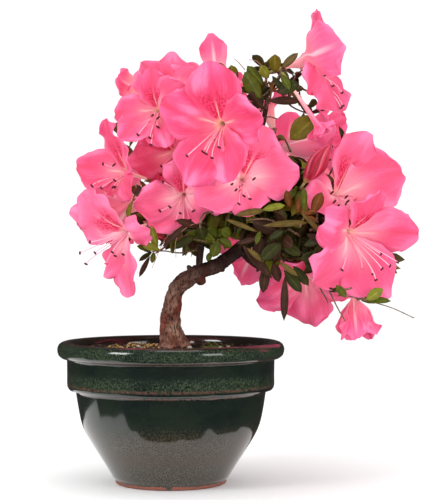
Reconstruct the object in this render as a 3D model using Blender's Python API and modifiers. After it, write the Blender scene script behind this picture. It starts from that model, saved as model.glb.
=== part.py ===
"""Azalea bonsai in flower, in a glazed bowl pot.

Metres, +Z up, seen from -Y. The origin is the centre of the pot's flat underside.
"""

import math
import random

import bmesh
import bpy
from mathutils import Matrix, Vector
from mathutils.bvhtree import BVHTree

# Clearance between neighbouring solids, and how near two points are welded
GAP = 0.0003
WELD = 0.00001
TURN_WELD = 0.00005
CURVE_DEPTH = 0.001
CREASE = 50.0

# Pot, turned about Z: radius and height along its inside from the middle of the floor up to the
# rim, then over the rim's roll and down the collar, ledge and belly to the foot
POT_STEPS = 32
POT_FLOOR = 0.006
RIM_TOP = 0.0935
SOIL_TOP = 0.088
SOIL_MARGIN = 0.004
SOIL_EDGE = 0.0006
POT_INSIDE = (
    (0.0000, POT_FLOOR),
    (0.0340, POT_FLOOR),
    (0.0410, 0.0150),
    (0.0505, 0.0300),
    (0.0560, 0.0470),
    (0.0584, 0.0640),
    (0.0640, 0.0800),
    (0.0656, 0.0905),
    (0.0676, 0.0929),
)
POT_RIM = (
    (0.0710, RIM_TOP),
    (0.0741, 0.0919),
    (0.0753, 0.0887),
    (0.0745, 0.0849),
    (0.0722, 0.0829),
)
POT_OUTSIDE = (
    (0.0689, 0.0823),
    (0.0685, 0.0650),
    (0.0675, 0.0620),
    (0.0632, 0.0610),
    (0.0610, 0.0487),
    (0.0589, 0.0394),
    (0.0556, 0.0315),
    (0.0495, 0.0213),
    (0.0430, 0.0112),
    (0.0386, 0.0041),
    (0.0370, 0.0027),
    (0.0365, 0.0000),
    (0.0000, 0.0000),
)

# Trunk and boughs: knots of x, y, z and radius along the middle line
GROUND = SOIL_TOP + GAP
KNOT_SPACING = 0.0055
TRUNK_SIDES = 4
BOUGH_SIDES = 2
STEM_SIDES = 1
STEM_SPACING = 0.012
TRUNK = (
    (0.0030, 0.0000, 0.0800, 0.0078),
    (0.0022, 0.0000, 0.0905, 0.0070),
    (0.0002, 0.0004, 0.1000, 0.0061),
    (-0.0002, 0.0006, 0.1090, 0.0058),
    (0.0010, 0.0004, 0.1190, 0.0054),
    (0.0032, 0.0000, 0.1275, 0.0053),
    (0.0088, -0.0006, 0.1335, 0.0052),
    (0.0170, -0.0008, 0.1385, 0.0050),
    (0.0265, -0.0004, 0.1422, 0.0047),
    (0.0345, 0.0004, 0.1462, 0.0044),
    (0.0412, 0.0008, 0.1510, 0.0042),
    (0.0464, 0.0006, 0.1556, 0.0040),
    (0.0496, 0.0000, 0.1606, 0.0036),
)
# Root flare: heading in degrees, reach along the ground, radius
ROOTS = (
    (-12, 0.0108, 0.0030),
    (62, 0.0070, 0.0022),
    (128, 0.0078, 0.0026),
    (196, 0.0086, 0.0026),
    (262, 0.0074, 0.0024),
    (318, 0.0078, 0.0022),
)
ROOT_RISE = 0.013
ROOT_SINK = 0.004
ROOT_TOP = 0.0034
ROOT_TOP_SHARE = 0.5
ROOT_FOOT_SHARE = 1.25
KNOB_SIDES = 7
# Knobs and cut stubs on the trunk: foot, tip, radius at foot and tip
KNOBS = (
    ((0.0160, -0.0010, 0.1372), (0.0110, -0.0030, 0.1436), 0.0024, 0.0013),
    ((0.0190, -0.0010, 0.1362), (0.0212, -0.0020, 0.1312), 0.0042, 0.0022),
    ((0.0000, 0.0000, 0.1100), (-0.0056, -0.0026, 0.1118), 0.0028, 0.0014),
    ((0.0380, 0.0004, 0.1480), (0.0352, -0.0040, 0.1506), 0.0022, 0.0012),
)

# Each bough: the limbs its foot is cut to, then knots of x, y, z and radius. The leader starts on
# the trunk's end
LEADER_RUN = 0.003
LEADER_TAPER = (0.92, 0.86)
BOUGHS = {
    "leader_bough": (
        (),
        (
            (0.0490, 0.0012, 0.1700, 0.0030),
            (0.0482, 0.0026, 0.1800, 0.0027),
            (0.0508, 0.0030, 0.1960, 0.0023),
            (0.0556, 0.0030, 0.2160, 0.0020),
            (0.0606, 0.0030, 0.2360, 0.0017),
            (0.0630, 0.0030, 0.2480, 0.0015),
        ),
    ),
    "crown_left_bough": (
        ("leader_bough",),
        (
            (0.0500, 0.0026, 0.1870, 0.0022),
            (0.0400, 0.0000, 0.1930, 0.0020),
            (0.0300, -0.0050, 0.2020, 0.0018),
            (0.0220, -0.0080, 0.2120, 0.0015),
        ),
    ),
    "far_left_bough": (
        ("trunk",),
        (
            (0.0184, -0.0004, 0.1376, 0.0024),
            (0.0190, -0.0014, 0.1480, 0.0021),
            (0.0204, -0.0030, 0.1590, 0.0019),
            (0.0176, -0.0040, 0.1668, 0.0017),
            (0.0090, -0.0050, 0.1730, 0.0015),
        ),
    ),
    "front_bough": (
        ("leader_bough",),
        (
            (0.0486, 0.0020, 0.1760, 0.0020),
            (0.0470, -0.0060, 0.1780, 0.0018),
            (0.0440, -0.0120, 0.1800, 0.0015),
        ),
    ),
    "right_bough": (
        ("trunk", "leader_bough"),
        (
            (0.0470, 0.0000, 0.1568, 0.0029),
            (0.0580, -0.0030, 0.1600, 0.0026),
            (0.0700, -0.0050, 0.1660, 0.0023),
            (0.0800, -0.0060, 0.1740, 0.0020),
            (0.0850, -0.0060, 0.1840, 0.0017),
        ),
    ),
    "low_right_bough": (
        ("right_bough",),
        (
            (0.0710, -0.0050, 0.1664, 0.0019),
            (0.0800, -0.0100, 0.1630, 0.0017),
            (0.0890, -0.0140, 0.1600, 0.0015),
        ),
    ),
    "hanging_bough": (
        ("trunk",),
        (
            (0.0452, -0.0006, 0.1545, 0.0026),
            (0.0520, -0.0030, 0.1478, 0.0024),
            (0.0590, -0.0040, 0.1428, 0.0021),
            (0.0650, -0.0020, 0.1398, 0.0017),
        ),
    ),
    "back_right_bough": (
        ("leader_bough",),
        (
            (0.0488, 0.0010, 0.1690, 0.0024),
            (0.0560, 0.0110, 0.1730, 0.0021),
            (0.0650, 0.0200, 0.1790, 0.0018),
            (0.0710, 0.0280, 0.1850, 0.0015),
        ),
    ),
    "back_left_bough": (
        ("leader_bough",),
        (
            (0.0484, 0.0024, 0.1790, 0.0023),
            (0.0400, 0.0120, 0.1830, 0.0020),
            (0.0300, 0.0220, 0.1890, 0.0018),
            (0.0240, 0.0300, 0.1960, 0.0015),
        ),
    ),
}

# Bloom of size 1: lengths along the petal from the tube's foot, in metres
TUBE_LENGTH = 0.024
LOBE_LENGTH = 0.035
THROAT_DEPTH = 0.019
PETAL_HALF_WIDTH = 0.0138
PETAL_THICKNESS = 0.0008
PETALS = 5
WEDGE = math.pi / PETALS
SINUS = 0.46
LOBE_WIDTH_LIMIT = 0.70
LOBE_TIP_WIDTH = 0.42
LOBE_TIP_REACH = 0.0026
LOBE_EDGE_LIFT = 0.10
MERIDIAN_STEPS = 50
# How far a petal leans from the bloom's axis: share of its length, most degrees, and most as a
# share of the bloom's spread
PETAL_LEAN = (
    (0.0, 32.0, 2.0),
    (0.2, 12.0, 2.0),
    (0.36, 20.0, 0.5),
    (0.5, 42.0, 0.8),
    (0.7, 90.0, 0.86),
    (1.0, 90.0, 1.0),
)
PETAL_ROWS = (0.0, SINUS, 0.73, 1.0)
PETAL_COLUMNS = (-1.0, 0.0, 1.0)
STALK_LENGTH = 0.008
STALK_RADIUS = 0.0010
STALK_RISE = 0.0030

# Buds, leaves and twigs
BUD_SIDES = 6
BUD_RINGS = 5
BUD_SLIM = 0.25
BUD_ROOT = 0.08
LEAF_THICKNESS = 0.0006
LEAF_SINK = 0.0008
LEAF_HALF_WIDTH = 0.20
LEAF_BELLY = 0.04
LEAF_STEP = 0.0016
TWIG_FOOT = 0.0011
TWIG_TIP = 0.0008
TWIG_SIDES = 3
NODE_SPACING = 0.007
TRY_NODES = 10
PROBE_GROWTH = 1.12
FEWEST_LEAVES = 3
# A sprig by the rule: the range of the sine of its rise, of how far out it sits, of its leaf
# count and of its leaf length
SPRIG_RISE = (-0.75, 0.9)
SPRIG_REACH = (0.28, 0.62)
SPRIG_LEAVES = (4, 6)
SPRIG_LEAF = (0.018, 0.026)
# A leaf in its whorl: least opening and further opening in degrees, least droop and further droop
WHORL_OPEN = (38.0, 36.0)
WHORL_DROOP = (0.10, 0.15)
# Stem: where it bends and how thin it is there, as shares
STEM_BEND = 0.45
STEM_TAPER = 0.92
STEM_NODES = (0.6, 0.5)

# Each mass: the bough that carries it, its hub, the half axes of its space, its seed, how many
# leaf sprigs the rule tries, its blooms, its closed buds and its placed sprigs.
# A bloom is throat x, y, z, then facing round from -Y and up in degrees, roll, size, petal
# spread in degrees and tube length.
# A sprig is tip x, y, z, then heading and rise in degrees, number of leaves and leaf length.
MASSES = {
    "crown_left_mass": {
        "bough": "crown_left_bough",
        "hub": (0.016, -0.008, 0.222),
        "space": (0.072, 0.064, 0.064),
        "seed": 11,
        "sprigs": 7,
        "blooms": {
            "a": (0.034, -0.058, 0.233, -26, -9, 0, 1.02, 80, 1.0),
            "b": (-0.007, -0.024, 0.244, -25, 8, 5, 0.80, 72, 1.0),
            "c": (0.001, 0.012, 0.256, -5, 60, 10, 0.80, 80, 1.0),
            "d": (0.030, 0.026, 0.267, 172, 28, 0, 0.88, 74, 1.0),
            "e": (-0.019, 0.032, 0.2625, -110, 12, 0, 0.72, 80, 1.0),
            "h": (0.000, 0.004, 0.222, -20, -10, 0, 0.66, 74, 1.0),
        },
        "buds": (),
        "placed": (((0.036, -0.006, 0.270), 10, 60, 5, 0.018),),
    },
    "far_left_mass": {
        "bough": "far_left_bough",
        "hub": (0.000, -0.004, 0.176),
        "space": (0.066, 0.062, 0.060),
        "seed": 23,
        "sprigs": 7,
        "blooms": {
            "f": (-0.028, 0.000, 0.205, -60, 14, 6, 0.88, 78, 1.0),
            "g": (-0.027, -0.024, 0.166, -48, -18, 8, 1.00, 80, 1.0),
        },
        "buds": (((-0.002, -0.014, 0.160), (-0.0115, -0.017, 0.166), 0.0022),),
        "placed": (
            ((0.008, -0.010, 0.172), -100, -20, 6, 0.026),
            ((-0.010, -0.004, 0.152), -110, -50, 5, 0.022),
            ((0.024, -0.012, 0.152), -60, -40, 6, 0.013),
        ),
    },
    "front_mass": {
        "bough": "front_bough",
        "hub": (0.038, -0.018, 0.186),
        "space": (0.062, 0.050, 0.044),
        "seed": 31,
        "sprigs": 13,
        "blooms": {
            "i": (0.0466, -0.036, 0.199, 6, 12, -27, 0.88, 80, 1.0),
            "j": (0.009, -0.020, 0.190, -6, -18, -5, 0.86, 78, 1.0),
        },
        "buds": (),
        "placed": (((0.030, -0.016, 0.168), -40, -30, 6, 0.024),),
    },
    "top_mass": {
        "bough": "leader_bough",
        "hub": (0.064, 0.003, 0.258),
        "space": (0.062, 0.050, 0.062),
        "seed": 47,
        "sprigs": 6,
        "blooms": {
            "l": (0.093, -0.005, 0.279, 52, 5, 0, 0.88, 76, 1.0),
            "n": (0.0855, -0.030, 0.2500, 84, -57, 0, 0.50, 24, 1.4),
        },
        "buds": (),
        "placed": (
            ((0.062, -0.004, 0.266), 0, 75, 7, 0.020),
            ((0.048, 0.004, 0.262), 180, 50, 6, 0.020),
            ((0.076, 0.002, 0.258), 10, 20, 5, 0.020),
        ),
    },
    "right_mass": {
        "bough": "right_bough",
        "hub": (0.084, -0.001, 0.196),
        "space": (0.060, 0.052, 0.058),
        "seed": 53,
        "sprigs": 12,
        "blooms": {
            "p": (0.090, 0.020, 0.226, 75, 8, 10, 0.90, 50, 1.0),
            "k": (0.064, 0.026, 0.244, -125, 70, 0, 0.56, 50, 1.0),
            "o": (0.107, -0.014, 0.190, 38, 22, -27, 1.04, 80, 1.0),
        },
        "buds": (((0.0860, -0.047, 0.1970), (0.1020, -0.054, 0.2205), 0.0060),),
        "placed": (((0.084, -0.006, 0.232), 30, 40, 4, 0.024),),
    },
    "low_right_mass": {
        "bough": "low_right_bough",
        "hub": (0.098, -0.016, 0.156),
        "space": (0.062, 0.062, 0.056),
        "seed": 67,
        "sprigs": 14,
        "blooms": {
            "q": (0.113, -0.048, 0.166, 38, -22, -12, 1.11, 80, 1.0),
            "s": (0.120, -0.016, 0.124, 20, -76, 30, 0.76, 30, 1.0),
        },
        "buds": (),
        "placed": (
            ((0.122, -0.020, 0.127), -10, -10, 6, 0.026),
            ((0.082, -0.014, 0.150), -70, -50, 6, 0.024),
        ),
    },
    "hanging_mass": {
        "bough": "hanging_bough",
        "hub": (0.072, 0.002, 0.142),
        "space": (0.060, 0.056, 0.048),
        "seed": 71,
        "sprigs": 12,
        "blooms": {
            "r": (0.090, 0.014, 0.138, 0, -50, 36, 0.94, 80, 1.0),
            "t": (0.059, 0.036, 0.157, -120, -40, 0, 0.80, 70, 1.0),
        },
        "buds": (),
        "placed": (
            ((0.066, -0.006, 0.132), -90, -60, 6, 0.024),
            ((0.080, -0.004, 0.134), -80, -70, 6, 0.026),
        ),
    },
    "back_left_mass": {
        "bough": "back_left_bough",
        "hub": (0.014, 0.034, 0.200),
        "space": (0.066, 0.060, 0.060),
        "seed": 83,
        "sprigs": 10,
        "blooms": {
            "u": (0.010, 0.054, 0.222, -165, 15, 10, 0.88, 80, 1.0),
            "w": (-0.024, 0.036, 0.188, -122, 0, -10, 0.92, 80, 1.0),
        },
        "buds": (),
        "placed": (),
    },
    "back_right_mass": {
        "bough": "back_right_bough",
        "hub": (0.074, 0.036, 0.188),
        "space": (0.070, 0.064, 0.072),
        "seed": 97,
        "sprigs": 16,
        "blooms": {
            "v": (0.079, 0.058, 0.211, 170, 14, 0, 0.88, 80, 1.0),
            "x": (0.050, 0.072, 0.184, -168, -8, 20, 0.88, 80, 1.0),
            "y": (0.108, 0.046, 0.196, 128, 8, 5, 0.96, 80, 1.0),
            "z": (0.102, 0.060, 0.144, 146, -20, -15, 0.86, 76, 1.0),
        },
        "buds": (),
        "placed": (),
    },
}


def clear_scene():
    for item in list(bpy.data.objects):
        bpy.data.objects.remove(item, do_unlink=True)


def new_collection(name):
    made = bpy.data.collections.new(name)
    bpy.context.scene.collection.children.link(made)
    return made


def new_material(name, colour, roughness, metallic=0.0):
    made = bpy.data.materials.new(name)
    made.use_nodes = True
    shader = made.node_tree.nodes["Principled BSDF"]
    shader.inputs["Base Color"].default_value = (*colour, 1.0)
    shader.inputs["Roughness"].default_value = roughness
    shader.inputs["Metallic"].default_value = metallic
    return made


def object_from(name, bm, collection, material=None):
    mesh = bpy.data.meshes.new(name)
    bm.to_mesh(mesh)
    bm.free()
    made = bpy.data.objects.new(name, mesh)
    if material:
        mesh.materials.append(material)
    collection.objects.link(made)
    return made


def baked(source, name, collection, material=None):
    """The evaluated mesh of an object as a new object. The first object is removed."""
    bpy.context.view_layer.update()
    graph = bpy.context.evaluated_depsgraph_get()
    mesh = bpy.data.meshes.new_from_object(source.evaluated_get(graph))
    matrix = source.matrix_world.copy()
    bpy.data.objects.remove(source, do_unlink=True)
    mesh.materials.clear()
    if material:
        mesh.materials.append(material)
    made = bpy.data.objects.new(name, mesh)
    made.matrix_world = matrix
    made.data.name = name
    collection.objects.link(made)
    return made


def weld(item):
    bm = bmesh.new()
    bm.from_mesh(item.data)
    bmesh.ops.remove_doubles(bm, verts=bm.verts, dist=WELD)
    bmesh.ops.recalc_face_normals(bm, faces=bm.faces)
    bm.to_mesh(item.data)
    bm.free()


def as_helper(item):
    item.hide_render = True
    item.display_type = "WIRE"


def shade(item):
    item.data.shade_smooth()
    item.data.set_sharp_from_angle(angle=math.radians(CREASE))


def smooth_knots(knots, spacing=KNOT_SPACING):
    """Points along a Catmull-Rom curve through the knots, with the radius as a fourth number."""
    rows = [Vector(knot) for knot in knots]
    rows = [2 * rows[0] - rows[1]] + rows + [2 * rows[-1] - rows[-2]]
    path = [rows[1]]
    for before, start, end, after in zip(rows, rows[1:], rows[2:], rows[3:]):
        steps = max(1, round((end.xyz - start.xyz).length / spacing))
        for step in range(1, steps + 1):
            t = step / steps
            path.append(
                0.5
                * (
                    2 * start
                    + (end - before) * t
                    + (2 * before - 5 * start + 4 * end - after) * t * t
                    + (3 * start - before - 3 * end + after) * t * t * t
                )
            )
    return path


def limb(
    name, knots, sides, collection, material=None, grown=0.0, spacing=KNOT_SPACING
):
    """A tapering limb: a round curve through the knots, as a closed mesh."""
    path = smooth_knots(knots, spacing)
    curve = bpy.data.curves.new(name, "CURVE")
    curve.dimensions = "3D"
    curve.bevel_depth = CURVE_DEPTH
    curve.bevel_resolution = sides
    curve.use_fill_caps = True
    spline = curve.splines.new("POLY")
    spline.points.add(len(path) - 1)
    for point, row in zip(spline.points, path):
        point.co = (row.x, row.y, row.z, 1.0)
        point.radius = (row.w + grown) / CURVE_DEPTH
    made = bpy.data.objects.new(name, curve)
    collection.objects.link(made)
    made = baked(made, name, collection, material)
    weld(made)
    return made


def cone_between(name, start, end, foot, tip, sides, collection):
    start = Vector(start)
    along = Vector(end) - start
    bm = bmesh.new()
    bmesh.ops.create_cone(
        bm, cap_ends=True, segments=sides, radius1=foot, radius2=tip, depth=along.length
    )
    turn = along.to_track_quat("Z", "Y").to_matrix().to_4x4()
    bmesh.ops.transform(
        bm, matrix=Matrix.Translation(start + along / 2) @ turn, verts=bm.verts
    )
    return object_from(name, bm, collection)


def fused(first, others, name, collection, material, solver="EXACT"):
    """One solid from the first object and a collection of others, which are removed."""
    modifier = first.modifiers.new("Fuse", "BOOLEAN")
    modifier.operation = "UNION"
    modifier.solver = solver
    modifier.operand_type = "COLLECTION"
    modifier.collection = others
    made = baked(first, name, collection, material)
    for item in list(others.objects):
        bpy.data.objects.remove(item, do_unlink=True)
    return made


def keep_outer_body(item):
    """Drops loose scraps and the inner walls of sealed hollows."""
    bm = bmesh.new()
    bm.from_mesh(item.data)
    unseen = set(bm.verts)
    bodies = []
    while unseen:
        stack = [unseen.pop()]
        body = set(stack)
        while stack:
            for edge in stack.pop().link_edges:
                for vert in edge.verts:
                    if vert not in body:
                        body.add(vert)
                        stack.append(vert)
        unseen -= body
        volume = 0.0
        for face in {face for vert in body for face in vert.link_faces}:
            first = face.verts[0].co
            for one, two in zip(face.verts[1:], face.verts[2:]):
                volume += first.dot(one.co.cross(two.co))
        bodies.append((volume, body))
    bodies.sort(key=lambda pair: -pair[0])
    scraps = [vert for _, body in bodies[1:] for vert in body]
    bmesh.ops.delete(bm, geom=scraps, context="VERTS")
    bm.to_mesh(item.data)
    bm.free()


def turned(name, profile, collection, material):
    """A profile of radius and height, turned about Z."""
    bm = bmesh.new()
    verts = [bm.verts.new((r, 0.0, z)) for r, z in profile]
    for a, b in zip(verts, verts[1:]):
        bm.edges.new((a, b))
    made = object_from(name, bm, collection, material)
    turn = made.modifiers.new("Turn", "SCREW")
    turn.steps = POT_STEPS
    turn.render_steps = POT_STEPS
    turn.use_merge_vertices = True
    turn.merge_threshold = TURN_WELD
    turn.use_smooth_shade = True


def make_pot(collection, material):
    turned("pot", POT_INSIDE + POT_RIM + POT_OUTSIDE, collection, material)


def make_soil(collection, material):
    """Fills the pot to the soil line, clear of its wall."""
    wall = [(r - GAP, z + GAP) for r, z in POT_INSIDE if z < SOIL_TOP - SOIL_MARGIN]
    profile = [(0.0, SOIL_TOP), (wall[-1][0] + SOIL_EDGE, SOIL_TOP)]
    profile += reversed(wall[1:])
    profile.append((0.0, POT_FLOOR + GAP))
    turned("soil", profile, collection, material)


def make_trunk(parts, extras, material):
    trunk = limb("trunk", TRUNK, TRUNK_SIDES, parts, material)
    for heading, reach, radius in ROOTS:
        turn = math.radians(heading)
        way = Vector((math.cos(turn), math.sin(turn), 0.0))
        foot = Vector((TRUNK[1][0], 0.0, GROUND - ROOT_SINK)) + way * reach
        top = Vector((TRUNK[1][0], 0.0, GROUND + ROOT_RISE)) + way * ROOT_TOP
        narrow, wide = radius * ROOT_TOP_SHARE, radius * ROOT_FOOT_SHARE
        cone_between("root_flare", top, foot, narrow, wide, KNOB_SIDES, extras)
    for foot, tip, wide, narrow in KNOBS:
        cone_between("knob", foot, tip, wide, narrow, KNOB_SIDES, extras)
    trunk = fused(trunk, extras, "trunk", parts, material)
    bm = bmesh.new()
    bm.from_mesh(trunk.data)
    cut = bmesh.ops.bisect_plane(
        bm,
        geom=bm.verts[:] + bm.edges[:] + bm.faces[:],
        plane_co=(0.0, 0.0, GROUND),
        plane_no=(0.0, 0.0, -1.0),
        clear_outer=True,
    )
    edges = [item for item in cut["geom_cut"] if isinstance(item, bmesh.types.BMEdge)]
    bmesh.ops.holes_fill(bm, edges=edges)
    bmesh.ops.recalc_face_normals(bm, faces=bm.faces)
    bm.to_mesh(trunk.data)
    bm.free()
    keep_outer_body(trunk)
    shade(trunk)
    return trunk


def make_boughs(parts, cutters, material):
    """Each bough ends in a saddle cut that follows the limb it grows from."""
    end, way, radius = bough_end(TRUNK)
    start = end + way * GAP
    lead = start + way * LEADER_RUN
    knots = {"trunk": TRUNK}
    knots.update({name: rows for name, (_, rows) in BOUGHS.items()})
    knots["leader_bough"] = (
        (*start, radius * LEADER_TAPER[0]),
        (*lead, radius * LEADER_TAPER[1]),
        *knots["leader_bough"],
    )
    made = {}
    for name, (parents, _) in BOUGHS.items():
        bough = limb(name, knots[name], BOUGH_SIDES, parts, material)
        for parent in parents:
            grown = limb(
                name + "_saddle", knots[parent], TRUNK_SIDES, cutters, None, grown=GAP
            )
            as_helper(grown)
            cut = bough.modifiers.new("Saddle", "BOOLEAN")
            cut.operation = "DIFFERENCE"
            cut.object = grown
            bough = baked(bough, name, parts, material)
            keep_outer_body(bough)
        shade(bough)
        made[name] = bough
    return made


def petal_angle(s, spread):
    """How far the petal leans from the bloom's axis, in radians, at s along it."""
    stops = [(at, min(most, share * spread)) for at, most, share in PETAL_LEAN]
    for (s0, a0), (s1, a1) in zip(stops, stops[1:]):
        if s <= s1:
            return math.radians(a0 + (a1 - a0) * (s - s0) / (s1 - s0))
    return math.radians(spread)


def petal_meridian(size, spread, tube):
    """Radius, height and lean at each row of the petal."""
    length = (TUBE_LENGTH * tube + LOBE_LENGTH) * size
    radius = 0.0
    height = 0.0
    rows = [(0.0, radius, height, petal_angle(0.0, spread))]
    for step in range(1, MERIDIAN_STEPS + 1):
        s = step / MERIDIAN_STEPS
        lean = petal_angle(s - 0.5 / MERIDIAN_STEPS, spread)
        radius += math.sin(lean) * length / MERIDIAN_STEPS
        height += math.cos(lean) * length / MERIDIAN_STEPS
        rows.append((s, radius, height, petal_angle(s, spread)))
    return [min(rows, key=lambda row: abs(row[0] - s)) for s in PETAL_ROWS]


def bloom_frame(facing, rise, roll):
    """Turns a bloom that opens along Z, with its upper petal along Y, to its facing."""
    az, el, ro = (math.radians(value) for value in (facing, rise, roll))
    axis = Vector(
        (math.sin(az) * math.cos(el), -math.cos(az) * math.cos(el), math.sin(el))
    )
    up = Vector((0.0, 0.0, 1.0))
    up = (up - axis * up.dot(axis)).normalized()
    side = up.cross(axis)
    x = side * math.cos(ro) + up * math.sin(ro)
    y = up * math.cos(ro) - side * math.sin(ro)
    turn = Matrix((x, y, axis)).transposed()
    return axis, turn


def make_bloom(name, values, collection):
    """A five-petalled funnel of even thickness. Gives back the end of its stalk."""
    throat = Vector(values[0:3])
    facing, rise, roll, size, spread, tube = values[3:9]
    axis, turn = bloom_frame(facing, rise, roll)
    base = throat - axis * THROAT_DEPTH * size * tube
    rows = petal_meridian(size, spread, tube)
    last_row = len(PETAL_ROWS) - 1
    bm = bmesh.new()
    for petal in range(PETALS):
        heading = math.radians(90.0) + petal * 2.0 * math.pi / PETALS
        grid = bmesh.ops.create_grid(
            bm,
            x_segments=len(PETAL_COLUMNS) - 1,
            y_segments=last_row,
            size=1.0,
        )
        for vert in grid["verts"]:
            column = round(vert.co.x)
            row = round((vert.co.y + 1.0) / 2.0 * last_row)
            s, radius, height, lean = rows[row]
            if s <= SINUS:
                out = radius * math.cos(WEDGE * column)
                across = radius * math.sin(WEDGE * column)
            else:
                half = min(PETAL_HALF_WIDTH * size, radius * LOBE_WIDTH_LIMIT)
                reach = 0.0
                if row == last_row:
                    half *= LOBE_TIP_WIDTH
                    reach = 0.0 if column else LOBE_TIP_REACH * size
                across = half * column
                lift = LOBE_EDGE_LIFT * abs(across)
                out = radius + reach * math.sin(lean) - lift * math.cos(lean)
                height += reach * math.cos(lean) + lift * math.sin(lean)
            vert.co = Vector(
                (
                    out * math.cos(heading) - across * math.sin(heading),
                    out * math.sin(heading) + across * math.cos(heading),
                    height,
                )
            )
    bmesh.ops.remove_doubles(bm, verts=bm.verts, dist=WELD)
    bmesh.ops.recalc_face_normals(bm, faces=bm.faces)
    place = Matrix.Translation(base) @ turn.to_4x4()
    bmesh.ops.transform(bm, matrix=place, verts=bm.verts)
    bloom = object_from(name, bm, collection)
    wall = bloom.modifiers.new("Wall", "SOLIDIFY")
    wall.thickness = PETAL_THICKNESS
    wall.offset = 0.0
    bloom = baked(bloom, name, collection)
    weld(bloom)
    stalk_end = base - axis * STALK_LENGTH
    stalk = cone_between(
        name + "_stalk",
        stalk_end,
        base + axis * STALK_RISE,
        STALK_RADIUS,
        STALK_RADIUS,
        TWIG_SIDES,
        collection,
    )
    return bloom, stalk, stalk_end


def make_bud(name, values, collection):
    """A closed bud: a spindle from its foot to its tip."""
    foot, tip, radius = Vector(values[0]), Vector(values[1]), values[2]
    along = tip - foot
    bm = bmesh.new()
    bmesh.ops.create_uvsphere(bm, u_segments=BUD_SIDES, v_segments=BUD_RINGS, radius=1.0)
    for vert in bm.verts:
        height = vert.co.z
        slim = 1.0 - BUD_SLIM * height
        vert.co = Vector(
            (
                vert.co.x * radius * slim,
                vert.co.y * radius * slim,
                height * along.length / 2,
            )
        )
    turn = along.to_track_quat("Z", "Y").to_matrix().to_4x4()
    bmesh.ops.transform(
        bm, matrix=Matrix.Translation(foot + along / 2) @ turn, verts=bm.verts
    )
    return object_from(name, bm, collection), foot + along * BUD_ROOT


def make_leaf(name, root, way, flat, length, collection):
    """A pointed blade of eight faces whose root is sunk in its twig."""
    across = way.cross(flat).normalized()
    normal = way.cross(across)
    half = (length + LEAF_SINK) / 2
    middle = root + way * (half - LEAF_SINK)
    bm = bmesh.new()
    bmesh.ops.create_uvsphere(bm, u_segments=4, v_segments=2, radius=1.0)
    for vert in bm.verts:
        x, y, z = vert.co
        side = across * x * length * LEAF_HALF_WIDTH + normal * y * LEAF_THICKNESS
        lift = z * half - (0.0 if abs(z) > 0.5 else LEAF_BELLY * length)
        vert.co = middle + side + way * lift
    return object_from(name, bm, collection)


def tree_of(item):
    """A search tree of an object's faces, in world space."""
    bm = bmesh.new()
    bm.from_mesh(item.data)
    bm.transform(item.matrix_world)
    tree = BVHTree.FromBMesh(bm)
    bm.free()
    return tree


def touches(item, trees):
    """Whether a slightly swollen copy of the object meets one of the trees: it is then too near."""
    bm = bmesh.new()
    bm.from_mesh(item.data)
    bm.normal_update()
    for vert in bm.verts:
        vert.co = vert.co + vert.normal * GAP * PROBE_GROWTH
    probe = BVHTree.FromBMesh(bm)
    bm.free()
    return any(probe.overlap(tree) for tree in trees)


def inside_space(points, centre, half_axes):
    for point in points:
        if sum((a / h) ** 2 for a, h in zip(point - centre, half_axes)) > 1.0:
            return False
    return True


def spherical(heading, rise):
    turn, lift = math.radians(heading), math.radians(rise)
    return Vector(
        (
            math.cos(turn) * math.cos(lift),
            math.sin(turn) * math.cos(lift),
            math.sin(lift),
        )
    )


def sprig_rule(mass):
    """Every sprig of a mass: its tip, heading, leaf count, leaf length and one draw for each leaf."""
    draw = random.Random(mass["seed"])
    hub = Vector(mass["hub"])
    sprigs = []
    for tip, heading, rise, leaves, length in mass["placed"]:
        sprigs.append((Vector(tip), spherical(heading, rise), leaves, length))
    for _ in range(mass["sprigs"]):
        heading = draw.uniform(0.0, 360.0)
        rise = math.degrees(math.asin(draw.uniform(*SPRIG_RISE)))
        share = draw.uniform(*SPRIG_REACH)
        leaves = draw.randint(*SPRIG_LEAVES)
        length = draw.uniform(*SPRIG_LEAF)
        way = spherical(heading, rise)
        reach = Vector([w * h for w, h in zip(way, mass["space"])])
        sprigs.append((hub + reach * share, way, leaves, length))
    return [
        (tip, way, leaves, length, [draw.random() for _ in range(3 * leaves)])
        for tip, way, leaves, length in sprigs
    ]


def leaf_whorl(way, leaves, draws):
    """Directions of a whorl of leaves that fan out round a heading."""
    side = way.orthogonal().normalized()
    other = way.cross(side)
    fan = []
    for index in range(leaves):
        turn, lean, tilt = draws[3 * index : 3 * index + 3]
        angle = 2.0 * math.pi * (index + 0.5 * turn) / leaves
        out = side * math.cos(angle) + other * math.sin(angle)
        opening = math.radians(WHORL_OPEN[0] + WHORL_OPEN[1] * lean)
        blade = way * math.cos(opening) + out * math.sin(opening)
        blade.z -= WHORL_DROOP[0] + WHORL_DROOP[1] * tilt
        fan.append(blade.normalized())
    return fan


def nearest_nodes(nodes, target):
    return sorted(nodes, key=lambda node: (node - target).length)[:TRY_NODES]


def grow_twig(name, nodes, target, foot, tip, taken, collection):
    """Joins a target to the nearest point of the mass's twigs from which the way is clear."""
    for node in nearest_nodes(nodes, target):
        overlap = (target - node).normalized() * TWIG_TIP
        twig = cone_between(
            name, node - overlap, target + overlap, foot, tip, TWIG_SIDES, collection
        )
        if not touches(twig, taken):
            steps = max(1, round((target - node).length / NODE_SPACING))
            for step in range(1, steps + 1):
                nodes.append(node.lerp(target, step / steps))
            return twig
        bpy.data.objects.remove(twig, do_unlink=True)
    return None


def twig_foot(twig):
    """The middle of the twig's foot: the first ring of its cone."""
    ring = [vert.co for vert in twig.data.vertices][0 : 2 * TWIG_SIDES : 2]
    return sum(ring, Vector()) / TWIG_SIDES


def bough_end(knots):
    path = smooth_knots(knots)
    end = path[-1].xyz
    return end, (end - path[-2].xyz).normalized(), path[-1].w


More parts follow.
